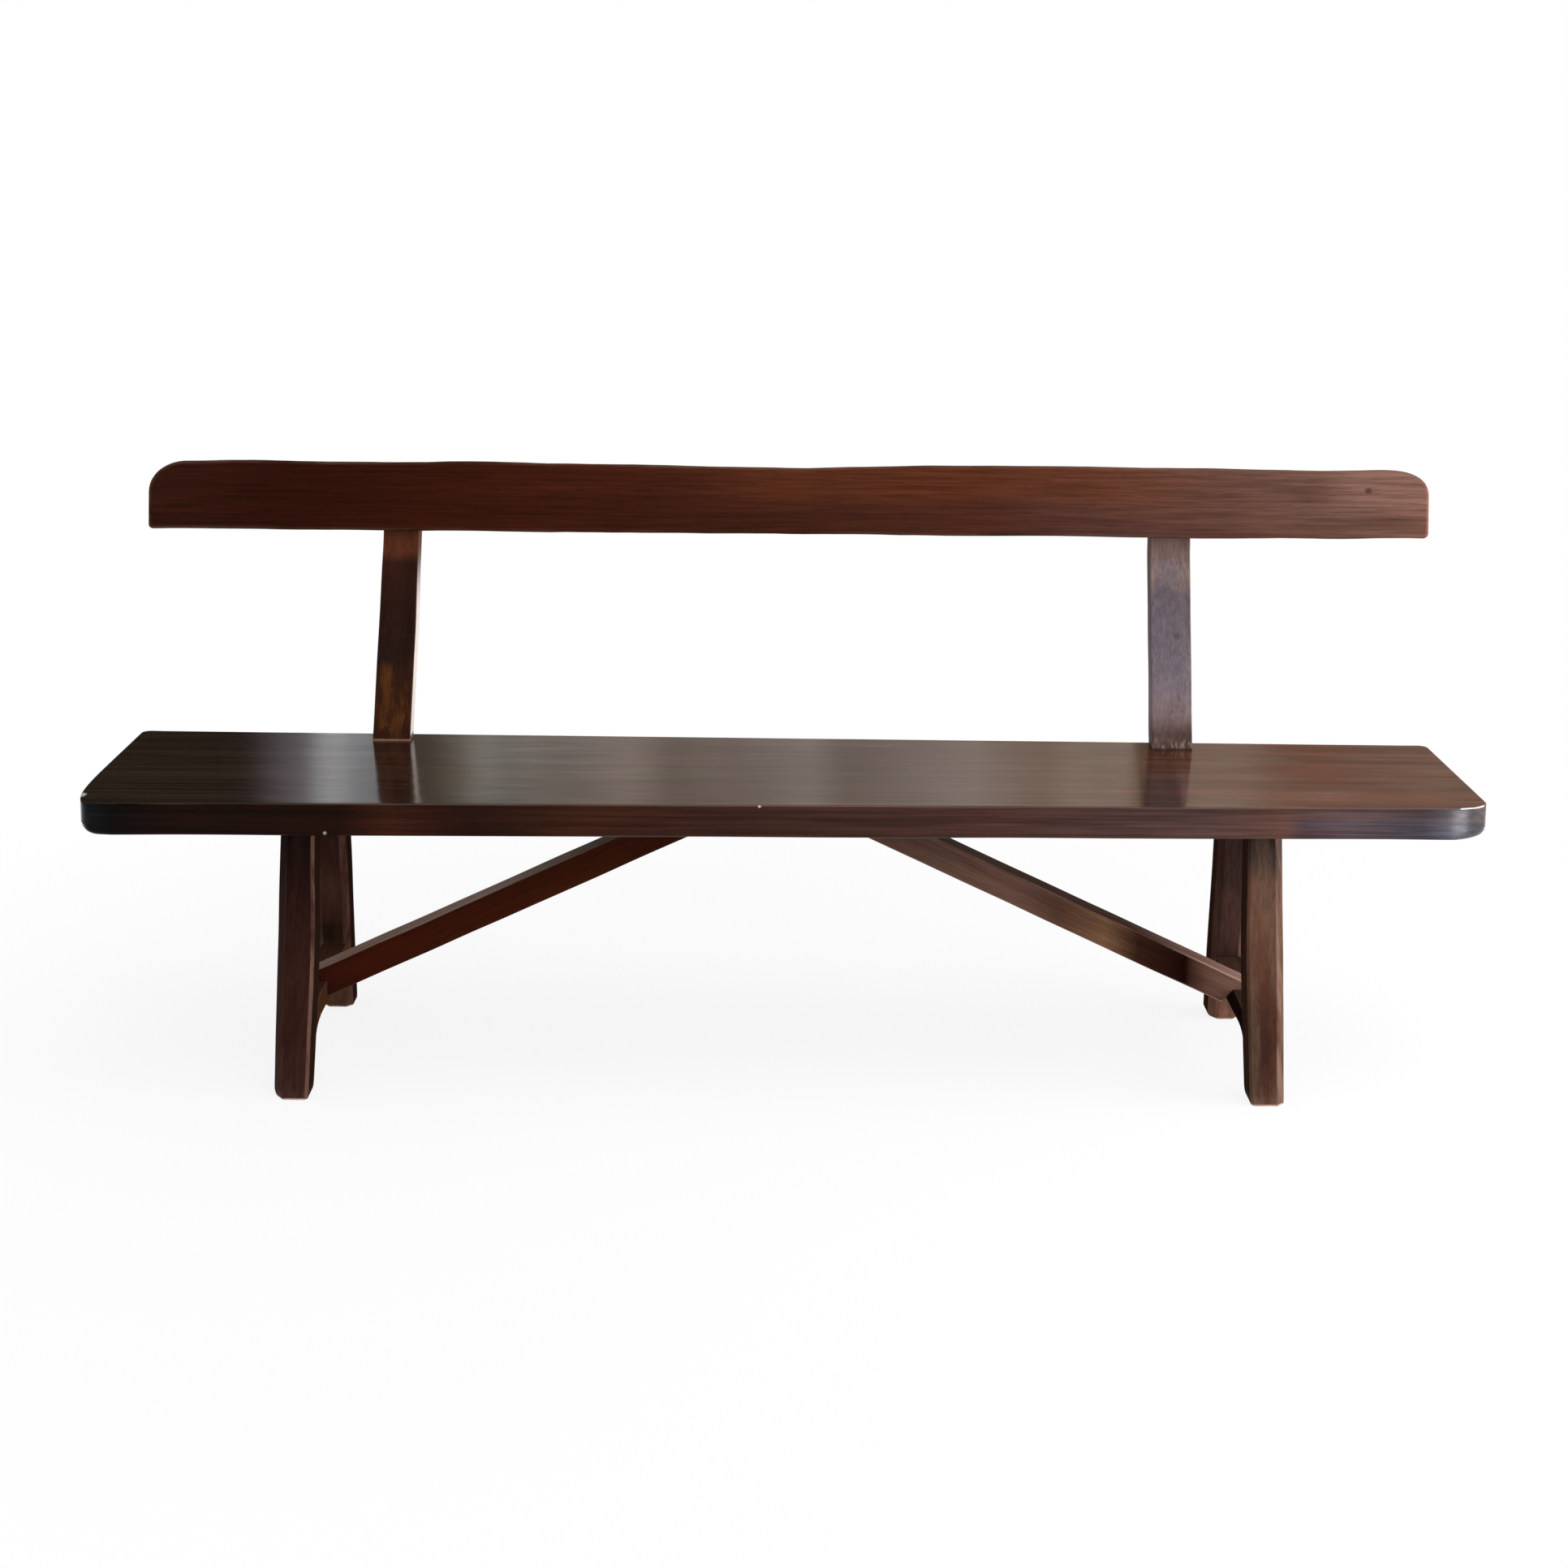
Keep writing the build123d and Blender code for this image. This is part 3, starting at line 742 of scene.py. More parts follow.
def add_screw(shape, placement, length, turn):
    """Adds a countersunk screw, its slotted head's face at Z 0 and its shank along +Z."""
    placement = placement @ Matrix.Rotation(turn, 4, "Z")
    profile = [
        (0, slot_depth), (screw_head - screw_rim, slot_depth),
        (screw_shank, screw_neck), (screw_shank, length), (0, length),
    ]
    add_turned(shape, profile, placement)
    lip = math.asin(slot_width / 2 / screw_head)
    for half in (0, math.pi):
        arc = [lip + (math.pi - 2 * lip) * part / 12 + half for part in range(13)]
        points = [(screw_head * math.cos(angle), screw_head * math.sin(angle), 0) for angle in arc]
        outline = [shape.verts.new(point) for point in points]
        face = shape.faces.new(outline)
        raised = bmesh.ops.extrude_face_region(shape, geom=[face])["geom"]
        moved = [part for part in raised if isinstance(part, bmesh.types.BMVert)]
        bmesh.ops.translate(shape, verts=moved, vec=(0, 0, slot_depth + 0.0002))
        bmesh.ops.transform(shape, matrix=placement, verts=outline + moved)


def rail_screw_places():
    """Where the screws go through the posts into the rail, from behind."""
    forward = (0, -math.cos(rail_lean), math.sin(rail_lean))
    places = []
    for side in outward:
        x = post_at[side] + post_sway[side]
        for height in (rail_screw_inset, rail_depth - post_below_rail_top - rail_screw_inset):
            places.append(lay_along(on_rail(x, height, rail_proud + post_thickness), forward, (1, 0, 0)))
    return places


def head_screw_places():
    """Where the screws go up through the braces' heads, square to their undersides."""
    places = []
    for side in outward:
        start, run, slope = brace_line(side)
        angle = math.atan(slope)
        along = run - head_screw_inset
        origin = (start - outward[side] * along, line_y, brace_lower_edge[side] + slope * along)
        places.append(lay_along(origin, (outward[side] * math.sin(angle), 0, math.cos(angle)), (0, 1, 0)))
    return places


def foot_screw_places():
    """Where the screws go up through the cross rails into the braces' feet."""
    places = []
    for side in outward:
        x = leg_centre("front", side, cross_rail_middle).x
        places.append(lay_along((x, line_y, cross_rail_underside), (0, 0, 1), (1, 0, 0)))
    return places


def make_screws(name, places, length, material):
    """A set of slotted screws, each slot stopped at its own angle."""
    shape = bmesh.new()
    for number, place in enumerate(places):
        add_screw(shape, place, length, 0.7 + number * 1.9)
    finished(name + "_steel", shape, material, "screw_steel", name)


class Nodes:
    """Adds shader nodes to a tree, one after the other."""

    def __init__(self, tree):
        self.tree = tree

    def add(self, kind, inputs=(), **settings):
        """A node with its settings; an input is given a value, or the socket that feeds it."""
        made = self.tree.nodes.new(kind)
        for name, value in settings.items():
            setattr(made, name, value)
        for name, value in dict(inputs).items():
            self.feed(made.inputs[name], value)
        return made

    def feed(self, socket, value):
        if isinstance(value, bpy.types.NodeSocket):
            self.tree.links.new(value, socket)
        else:
            socket.default_value = value

    def math(self, operation, first, second):
        return self.add("ShaderNodeMath", {0: first, 1: second}, operation=operation).outputs[0]

    def product(self, first, *others):
        """What several shares give together."""
        for other in others:
            first = self.math("MULTIPLY", first, other)
        return first

    def span(self, value, low, high, new_low=0.0, new_high=1.0):
        """A value eased from one range to another."""
        inputs = {"Value": value, "From Min": low, "From Max": high, "To Min": new_low, "To Max": new_high}
        return self.add("ShaderNodeMapRange", inputs, interpolation_type="SMOOTHSTEP").outputs["Result"]

    def mix(self, share, first, second):
        made = self.add("ShaderNodeMix", {0: share}, data_type="RGBA")
        self.feed(made.inputs[6], first)
        self.feed(made.inputs[7], second)
        return made.outputs[2]

    def ramp(self, value, stops):
        """A colour that follows a value, from (value, colour) pairs."""
        low, high = stops[0][0], stops[-1][0]
        share = self.add("ShaderNodeMapRange", {"Value": value, "From Min": low, "From Max": high}).outputs[0]
        made = self.add("ShaderNodeValToRGB", {"Fac": share})
        ends = made.color_ramp.elements
        ends[0].color, ends[-1].color = stops[0][1], stops[-1][1]
        for place, colour in stops[1:-1]:
            ends.new((place - low) / (high - low)).color = colour
        return made.outputs["Color"]

    def noise(self, vector, stretch, detail=4.0, roughness=0.55, distortion=0.0):
        placed = self.add("ShaderNodeMapping", {"Vector": vector, "Scale": stretch})
        inputs = {
            "Vector": placed.outputs[0], "Scale": 1.0, "Detail": detail,
            "Roughness": roughness, "Distortion": distortion,
        }
        return self.add("ShaderNodeTexNoise", inputs).outputs[0]

    def seen(self):
        """One for rays from the camera or a reflection, and zero for the light that falls on things."""
        path = self.add("ShaderNodeLightPath").outputs
        mirrored = self.math("MAXIMUM", path["Is Glossy Ray"], path["Is Transmission Ray"])
        return self.math("MAXIMUM", path["Is Camera Ray"], mirrored)


class Recipe(Nodes):
    """A material, and where its surface is along each axis."""

    def __init__(self, name):
        self.material = bpy.data.materials.new(name)
        self.material.use_nodes = True
        super().__init__(self.material.node_tree)
        self.shader = self.tree.nodes["Principled BSDF"]
        self.here = self.add("ShaderNodeTexCoord").outputs["Object"]
        axes = self.add("ShaderNodeSeparateXYZ", {0: self.here}).outputs
        self.x, self.y, self.z = axes["X"], axes["Y"], axes["Z"]

    def set(self, name, value):
        self.feed(self.shader.inputs[name], value)

    def show(self, shader):
        """Shows another shader in place of the first one."""
        self.tree.nodes.remove(self.shader)
        self.feed(self.tree.nodes["Material Output"].inputs["Surface"], shader.outputs[0])
        return self.material


def shade(red, green, blue):
    """A colour as it shows on a screen, made linear."""
    def linear(value):
        value = value / 255
        return value / 12.92 if value <= 0.04045 else ((value + 0.055) / 1.055) ** 2.4
    return (linear(red), linear(green), linear(blue), 1.0)


class Wood(Recipe):
    """Stained wood: colours that change along the bench, grain along the piece, then glazes over them."""

    def __init__(self, name, tones, along="X", turn=(0, 0, 0), shift=(0, 0, 0), contrast=1.0):
        super().__init__(name)
        self.worn = self.mark("worn")
        self.faces_up = self.span(self.mark("faces_up"), 0.5, 0.8)
        self.faces_along = self.span(self.mark("faces_along"), 0.78, 0.93)
        angles = [math.radians(angle) for angle in turn]
        placed = self.add("ShaderNodeMapping", {"Vector": self.here, "Rotation": angles, "Location": shift})
        self.grain = placed.outputs[0]
        self.figure = self.noise(self.grain, (1.6, 26, 26), 5, 0.6, 0.4)
        self.fibre = self.noise(self.grain, (6, 230, 230), 5, 0.65, 0.1)
        self.pore = self.noise(self.grain, (30, 820, 820), 2, 0.5)
        self.cloud = self.noise(self.grain, (2.4, 6, 6), 3, 0.5)
        wave = self.math("ADD", self.product(self.figure, 0.5), self.product(self.fibre, 0.5))
        self.depth = self.span(wave, 0.34, 0.66, 1 - 0.34 * contrast, 1 + 0.34 * contrast)
        self.tone = self.scaled(self.gradient(tones, along), self.depth)
        self.tone = self.scaled(self.tone, self.span(self.cloud, 0.3, 0.7, 0.88, 1.12))

    def mark(self, name):
        """What the shape says of a place, such as how worn it is."""
        return self.add("ShaderNodeAttribute", attribute_name=name).outputs["Fac"]

    def gradient(self, tones, along="X"):
        """A colour for each place along an axis, from rows of place, red, green and blue."""
        source = {"X": self.x, "Y": self.y, "Z": self.z}[along]
        return self.ramp(source, [(place, shade(*tone)) for place, *tone in tones])

    def scaled(self, colour, amount):
        return self.add("ShaderNodeVectorMath", {0: colour, "Scale": amount}, operation="SCALE").outputs[0]

    def band(self, value, low, high, soft):
        """One between low and high, falling to zero over a soft edge."""
        return self.product(self.span(value, low - soft, low), self.span(value, high, high + soft, 1.0, 0.0))

    def spot(self, place, radius, stretch=(1, 1, 1)):
        """One at a place, falling to zero at a radius."""
        shift = [-value * factor for value, factor in zip(place, stretch)]
        spread = self.add("ShaderNodeMapping", {"Vector": self.here, "Scale": stretch, "Location": shift})
        far = self.add("ShaderNodeVectorMath", {0: spread.outputs[0]}, operation="LENGTH").outputs["Value"]
        return self.span(far, radius * 0.35, radius, 1.0, 0.0)

    def glaze(self, share, colour, grained=0.6):
        """Lays a colour over the wood; the grain still shows in it."""
        plain = colour
        if not isinstance(colour, bpy.types.NodeSocket):
            plain = self.add("ShaderNodeRGB").outputs[0]
            plain.default_value = colour
        wave = self.span(self.fibre, 0.3, 0.7, 1 - 0.4 * grained, 1 + 0.4 * grained)
        self.tone = self.mix(share, self.tone, self.scaled(plain, wave))

    def finish(self, arris, gloss=0.35, sheen=0.05, relief=0.2, rub=0.6, waves=0.0, pores=0.38):
        """Rubs the worn arrises paler, paints the legs' lit flats pale the same way, and sets the polish."""
        patchy = self.noise(self.grain, (8, 50, 50), 3, 0.6)
        rubbed = self.product(self.worn, self.span(patchy, 0.36, 0.62, 0.1 * rub, rub))
        tone = self.mix(rubbed, self.tone, arris)
        tone = self.scaled(tone, self.span(self.pore, 0.28, 0.40, 1 - pores, 1.0))
        self.set("Base Color", tone)
        self.set("Roughness", self.span(self.fibre, 0.3, 0.7, gloss + 0.05, gloss - 0.04))
        pitted = self.product(self.span(self.pore, 0.3, 0.45), pores)
        height = self.math("ADD", self.product(self.fibre, 0.6), pitted)
        bump = self.add("ShaderNodeBump", {"Strength": relief, "Distance": 0.0005, "Height": height})
        if waves:
            planed = self.noise(self.here, (5, 16, 2), 2, 0.5)
            inputs = {"Strength": 1.0, "Distance": waves, "Height": planed, "Normal": bump.outputs[0]}
            bump = self.add("ShaderNodeBump", inputs)
        self.set("Normal", bump.outputs[0])
        self.set("Specular IOR Level", sheen)
        return self.material


def tone_seat_edges_and_ends(wood, on_top):
    """The plank's edges, darker than its top and paler towards the right, partly as painted light from the
    right, and its ends in end grain.
    """
    edge = [
        (-1.0, 11, 9, 8), (-0.93, 13, 9, 7), (-0.86, 26, 9, 4), (-0.62, 28, 9, 3), (-0.55, 59, 27, 14),
        (-0.44, 40, 17, 10), (-0.27, 63, 33, 19), (-0.10, 54, 30, 24), (0.0, 59, 35, 28), (0.3, 74, 48, 42),
        (0.45, 70, 49, 46), (0.6, 76, 55, 51), (0.70, 92, 63, 55), (0.78, 98, 70, 64), (1.0, 84, 66, 64),
    ]
    wood.tone = wood.mix(on_top, wood.scaled(wood.gradient(edge), wood.depth), wood.tone)
    rings = wood.span(wood.noise(wood.here, (8, 55, 210), 4, 0.6, 0.6), 0.36, 0.64, 0.74, 1.14)
    ends = wood.mix(wood.span(wood.x, -0.5, 0.5), shade(30, 18, 13), shade(62, 40, 32))
    wood.tone = wood.mix(wood.faces_along, wood.tone, wood.scaled(ends, rings))


def paint_sheen_on_seat(wood, on_top):
    """A painted plum sheen on the edge towards the right, standing for reflected light, and a painted
    blue-grey reflection at the left front corner.
    """
    painted_sheen = [
        (0.70, 60, 48, 54), (0.80, 76, 64, 67), (0.90, 64, 58, 64),
        (0.95, 78, 77, 88), (0.985, 46, 38, 44), (1.0, 42, 34, 38),
    ]
    below = wood.math("SUBTRACT", 1.0, wood.math("MAXIMUM", on_top, wood.faces_along))
    streak = wood.span(wood.noise(wood.grain, (3, 8, 60), 3, 0.5), 0.36, 0.62, 0.45, 1.0)
    # Painted reflection: a plum-grey sheen laid into the colour of the front edge towards the right
    wood.glaze(wood.product(below, streak, wood.span(wood.x, 0.705, 0.735)), wood.gradient(painted_sheen))
    # Painted reflection: a blue-grey patch at the left front corner
    painted_reflection_left_corner = wood.spot((-0.975, line_y - 0.15, 0.42), 0.07)
    wood.glaze(wood.product(below, painted_reflection_left_corner), shade(44, 50, 60))


def mark_seat(wood, on_top):
    """Paler patches on the top, two chips, a painted highlight at the left front corner, and a painted glint
    along the right front corner's arris.
    """
    patches = wood.span(wood.cloud, 0.5, 0.72, 0.0, 0.75)
    wood.glaze(wood.product(on_top, patches, wood.span(wood.x, 0.62, 0.8)), shade(112, 84, 70))
    chip = shade(196, 176, 160)
    wood.glaze(wood.spot((-0.642, line_y - 0.203, 0.3925), 0.004), chip, 0.2)
    wood.glaze(wood.spot((-0.034, line_y - 0.19, 0.434), 0.003), chip, 0.2)
    # Painted highlight: a pale blue-white spot near the left front corner's upper arris
    wood.glaze(wood.spot((-0.990, line_y - 0.168, 0.4325), 0.008, (1, 0.5, 1)), shade(200, 202, 206), 0.2)
    # Painted highlight: a white glint laid along the upper arris of the right front corner
    painted_glint_corner = wood.band(wood.x, 0.958, 0.990, 0.006)
    painted_glint_arris = wood.band(wood.z, seat_top - 0.0017, seat_top - 0.0009, 0.0005)
    at_front = wood.span(wood.y, line_y - 0.12, line_y - 0.135)
    wood.glaze(wood.product(painted_glint_corner, painted_glint_arris, at_front), shade(255, 252, 246), 0.1)


def line_seat_and_paint_reflection(wood, on_top, dull_band_and_painted_reflection):
    """Fine lines along the grain, an olive cast on the right of the top, and the painted reflection of the
    right post: a darker slanting band.
    """
    lines = wood.noise(wood.grain, (1.4, 120, 120), 3, 0.6)
    wood.tone = wood.scaled(wood.tone, wood.span(lines, 0.36, 0.60, 0.66, 1.13))
    olive = wood.span(wood.noise(wood.here, (7, 22, 3), 3, 0.6), 0.50, 0.62, 0.0, 0.45)
    wood.glaze(wood.product(on_top, olive, wood.span(wood.x, 0.25, 0.75)), shade(94, 76, 56), 0.5)
    # Painted reflection: the top darkened across the slanting band where the right post's dark reflection
    # falls, more towards the front
    painted_reflection_front = wood.product(dull_band_and_painted_reflection, wood.span(wood.y, line_y + 0.04, line_y - 0.08))
    wood.tone = wood.scaled(wood.tone, wood.span(dull_band_and_painted_reflection, 0, 1, 1.0, 0.86))
    wood.tone = wood.scaled(wood.tone, wood.span(painted_reflection_front, 0, 1, 1.0, 0.58))


def seat_wood():
    """The plank: a polished top with a duller slanting band across it, darkened there as painted reflection
    of the right post, and a duller round right corner.
    """
    # Colours of the top along the bench; paler towards the right, partly as painted light from the right
    top = [
        (-1.0, 54, 44, 34), (-0.75, 48, 37, 29), (-0.55, 46, 28, 20), (0.0, 64, 40, 28),
        (0.55, 76, 43, 29), (0.80, 98, 58, 40), (1.0, 106, 70, 52),
    ]
    wood = Wood("seat wood", top, shift=(0.2, 0.0, 0.3), contrast=0.8)
    on_top = wood.span(wood.z, seat_top - 0.0016, seat_top - 0.0004)
    # The slanting band where the right post's reflection falls on the top: its polish is lowered and its
    # colour darkened as painted reflection
    slant = wood.math("SUBTRACT", wood.x, wood.product(wood.math("SUBTRACT", wood.y, line_y), 0.12))
    dull_band_and_painted_reflection = wood.product(on_top, wood.band(slant, 0.532, 0.576, 0.016))
    tone_seat_edges_and_ends(wood, on_top)
    paint_sheen_on_seat(wood, on_top)
    mark_seat(wood, on_top)
    line_seat_and_paint_reflection(wood, on_top, dull_band_and_painted_reflection)
    corner = wood.spot((0.975, line_y - 0.145, 0.425), 0.085)
    polish = wood.product(wood.span(on_top, 0, 1, 0.045, 0.5), wood.span(dull_band_and_painted_reflection, 0, 1, 1.0, 0.3))
    sheen = wood.math("MAXIMUM", polish, wood.product(corner, 0.5))
    wood.finish(shade(84, 64, 54), gloss=0.12, sheen=sheen, relief=0.05, rub=0.3, waves=0.0010, pores=0.1)
    rounded_end = wood.product(corner, wood.math("SUBTRACT", 1.0, on_top), 0.14)
    wood.set("Roughness", wood.math("ADD", wood.span(wood.fibre, 0.3, 0.7, 0.17, 0.08), rounded_end))
    return wood.material


def rail_wood():
    """The back rail: dark on the left, paler and pinker to the right, partly as painted light and sheen from
    the right, more orange along its upper half.
    """
    # Colours along the rail; the paler, pinker right is partly painted light and sheen from the right
    tones = [
        (-1.0, 56, 25, 15), (-0.8, 50, 18, 7), (-0.55, 60, 22, 9), (-0.3, 64, 26, 12), (0.0, 68, 32, 19),
        (0.3, 70, 34, 22), (0.42, 76, 43, 33), (0.55, 88, 54, 42), (0.67, 84, 54, 44), (0.8, 90, 60, 50),
        (0.92, 86, 57, 45), (1.0, 97, 64, 52),
    ]
    wood = Wood("rail wood", tones, shift=(0.4, 0.1, 0.2), contrast=0.55)
    wander = wood.product(wood.math("SUBTRACT", wood.noise(wood.grain, (2.2, 2, 9), 3, 0.5), 0.5), 0.05)
    height = wood.math("ADD", wood.z, wander)
    upper = wood.span(height, 0.785, 0.822)
    lower = wood.span(height, 0.80, 0.775)
    wood.glaze(wood.product(upper, wood.band(wood.x, 0.05, 0.45, 0.25), 0.55), shade(91, 45, 23))
    wood.glaze(wood.product(wood.band(wood.x, 0.48, 0.6, 0.15), lower, 0.6), shade(74, 44, 38))
    figure = wood.span(wood.figure, 0.40, 0.65, 0.0, 0.4)
    wood.glaze(wood.product(wood.span(wood.x, 0.62, 0.95), figure), shade(122, 89, 78))
    wood.glaze(wood.product(wood.span(wood.x, 0.8, 0.9), upper, 0.5), shade(134, 98, 86))
    streaks = wood.noise(wood.grain, (9, 300, 300), 4, 0.7)
    wood.tone = wood.scaled(wood.tone, wood.span(streaks, 0.34, 0.64, 0.80, 1.17))
    lean = wood.product(wood.math("SUBTRACT", wood.z, rail_lower_edge), math.tan(rail_lean))
    upright = wood.math("SUBTRACT", wood.y, lean)
    at_front = wood.span(upright, rail_front_y + 0.010, rail_front_y + 0.004, 0.0, 0.75)
    at_end = wood.span(wood.x, 0.9915, 0.9940)
    wood.glaze(wood.product(at_end, wood.worn, at_front), shade(146, 76, 62), 0.2)
    knot = wood.spot((0.905, line_y + 0.233, 0.826), 0.0065, (0.8, 1, 1))
    wood.glaze(wood.product(knot, 0.7), shade(54, 30, 24), 0.2)
    return wood.finish(shade(112, 84, 68), gloss=0.4, relief=0.15, rub=0.5)


# Leg colours from the foot up; the darkest at the top is painted shade under the seat, and the paler right
# legs are partly painted light from the right
leg_tones = {
    ("front", "left"): [(62, 40, 34), (54, 28, 23), (48, 25, 20), (41, 21, 18), (35, 19, 17), (20, 11, 11)],
    ("front", "right"): [(80, 50, 38), (60, 35, 26), (79, 47, 35), (97, 67, 53), (66, 50, 44), (24, 18, 18)],
    ("rear", "left"): [(102, 72, 52), (92, 60, 44), (66, 38, 28), (77, 49, 39), (58, 34, 26), (38, 19, 13)],
    ("rear", "right"): [(146, 102, 80), (70, 45, 37), (88, 60, 52), (90, 59, 48), (72, 46, 36), (38, 24, 20)],
}
leg_tone_heights = {
    "front": [0.0, 0.08, 0.20, 0.31, 0.345, seat_underside],
    "rear": [0.0, 0.095, 0.154, 0.205, 0.25, seat_underside],
}
leg_strips = {
    ("front", "left"): (60, 34, 26), ("front", "right"): (94, 74, 60),
    ("rear", "left"): (60, 34, 26), ("rear", "right"): (44, 36, 38),
}
leg_strip_share = {"left": 0.35, "right": 0.45}
leg_sides = {"left": (44, 27, 21), "right": (52, 34, 27)}
# Pale tones for the rubbed arrises, which also paint the lit right front flat of each leg
leg_rub_and_painted_light_tones = {
    ("front", "left"): (118, 84, 72), ("front", "right"): (128, 98, 84),
    ("rear", "left"): (104, 68, 56), ("rear", "right"): (104, 68, 56),
}


def leg_wood(end, side):
    """A leg: darkest under the seat as painted shade, the right ones paler, partly as painted light from the
    right, streaked in two browns, and the left rear one with a painted shadow above its cross rail.
    """
    stops = [(height, *tone) for height, tone in zip(leg_tone_heights[end], leg_tones[end, side])]
    shift = (0.3, 0.7 if side == "left" else 1.9, 0.4 if end == "front" else 2.3)
    wood = Wood("leg " + end + " " + side + " wood", stops, "Z", (0, 90, 0), shift, 0.9)
    strip = wood.span(wood.noise(wood.grain, (2.5, 30, 30), 3, 0.5), 0.42, 0.6)
    wood.glaze(wood.product(strip, leg_strip_share[side]), shade(*leg_strips[end, side]))
    # Painted highlight: a pale line along the very bottom of the foot
    wood.glaze(wood.span(wood.z, 0.0030, 0.0010, 0.0, 0.9), shade(214, 184, 168), 0.2)
    wood.glaze(wood.faces_along, shade(*leg_sides[side]))
    # Painted shadow: a dark band on the front of the left rear leg just above its cross rail
    if (end, side) == ("rear", "left"):
        upright = wood.math("ADD", wood.y, wood.product(wood.z, math.tan(leg_splay)))
        at_front = wood.span(upright, line_y + 0.180, line_y + 0.170)
        patchy = wood.span(wood.cloud, 0.3, 0.6, 0.4, 1.0)
        dark_patch = wood.product(wood.band(wood.z, 0.122, 0.140, 0.014), patchy, at_front)
        wood.glaze(dark_patch, shade(30, 17, 13), 0.3)
    sheen = wood.span(wood.faces_along, 0, 1, 0.03, 0.0)
    return wood.finish(shade(*leg_rub_and_painted_light_tones[end, side]), gloss=0.42, sheen=sheen, relief=0.25, rub=0.85)


def cross_rail_wood(side):
    """A cross rail, in the tone of its legs; the right one's side faces painted dark as shade, the left one's
    top painted paler as lit from above.
    """
    front, rear = {"left": [(48, 24, 20), (62, 44, 36)], "right": [(58, 38, 28), (80, 58, 46)]}[side]
    side_face_tone_and_shade = {"left": (84, 52, 30), "right": (22, 12, 10)}[side]
    stops = [(line_y - 0.18, *front), (line_y + 0.18, *rear)]
    wood = Wood("cross rail " + side + " wood", stops, "Y", (0, 0, 90), (0.1, 0.5, 0.9))
    # The left rail's side faces in their own brown; the right rail's side faces painted dark as shade under
    # its brace
    wood.glaze(wood.product(wood.faces_along, 0.9), shade(*side_face_tone_and_shade))
    # Painted light: the left rail's top face made paler, as lit from above
    if side == "left":
        wood.glaze(wood.faces_up, shade(94, 60, 48))
    sheen = wood.span(wood.faces_along, 0, 1, 0.03, 0.0)
    return wood.finish(shade(120, 84, 72), gloss=0.5, sheen=sheen, relief=0.25)


def left_brace_wood():
    """The left brace: even reddish brown, its top face painted pale as lit from above."""
    stops = [(-0.72, 56, 22, 14), (-0.60, 58, 19, 6), (-0.25, 62, 24, 6), (0.0, 58, 22, 8)]
    top = [(-0.7, 176, 140, 124), (-0.45, 210, 180, 160), (-0.25, 150, 132, 116), (0, 150, 138, 122)]
    wood = Wood("brace left wood", stops, "X", (0, 25, 0), (0.6, 0.2, 1.2), 0.9)
    # Painted light: the top face in pale tones, as lit from above
    wood.glaze(wood.faces_up, wood.gradient(top))
    return wood.finish(shade(104, 80, 66), gloss=0.5, sheen=0.03, relief=0.2, rub=0.3)


def right_brace_wood():
    """The right brace, in pale and dark stretches."""
    stops = [
        (0.15, 96, 70, 58), (0.35, 102, 74, 62), (0.41, 86, 58, 46), (0.48, 122, 88, 64), (0.53, 60, 32, 20),
        (0.602, 29, 4, 1), (0.615, 80, 50, 40), (0.640, 112, 80, 68), (0.72, 140, 104, 90),
    ]
    top = [(0, 130, 110, 96), (0.35, 84, 60, 50), (0.52, 76, 50, 40), (0.7, 150, 116, 104)]
    wood = Wood("brace right wood", stops, "X", (0, -25, 0), (0.6, 0.2, 1.2), 0.9)
    wood.glaze(wood.faces_up, wood.gradient(top))
    wood.glaze(wood.product(wood.span(wood.x, 0.55, 0.68), wood.worn), shade(196, 160, 142))
    return wood.finish(shade(150, 116, 98), gloss=0.5, sheen=0.03, relief=0.2, rub=0.45)


def left_post_wood():
    """The left back post: dark, with an orange figure at its foot and its inner face painted pale as lit from
    the right.
    """
    stops = [
        (0.435, 56, 28, 18), (0.50, 60, 33, 19), (0.56, 44, 26, 20), (0.64, 46, 25, 19),
        (0.70, 54, 28, 19), (0.718, 94, 50, 31), (0.85, 94, 50, 31),
    ]
    wood = Wood("post left wood", stops, "Z", (0, 90, 0), (1.3, 0.4, 0.1), 0.8)
    near_foot = wood.band(wood.z, 0.45, 0.53, 0.03)
    wood.glaze(wood.product(wood.span(wood.figure, 0.5, 0.62), near_foot), shade(88, 50, 22))
    wood.glaze(wood.span(wood.z, seat_top + 0.0032, seat_top + 0.0022, 0.0, 0.8), shade(150, 112, 92), 0.3)
    # Painted light: the inner side face, towards the right, made almost white below the rail
    inner = wood.product(wood.faces_along, wood.span(wood.x, -0.604, -0.58), wood.span(wood.z, 0.73, 0.62))
    wood.glaze(inner, shade(250, 236, 226), 0.15)
    return wood.finish(shade(120, 92, 78), gloss=0.35, sheen=0.05, relief=0.15, rub=0.4)


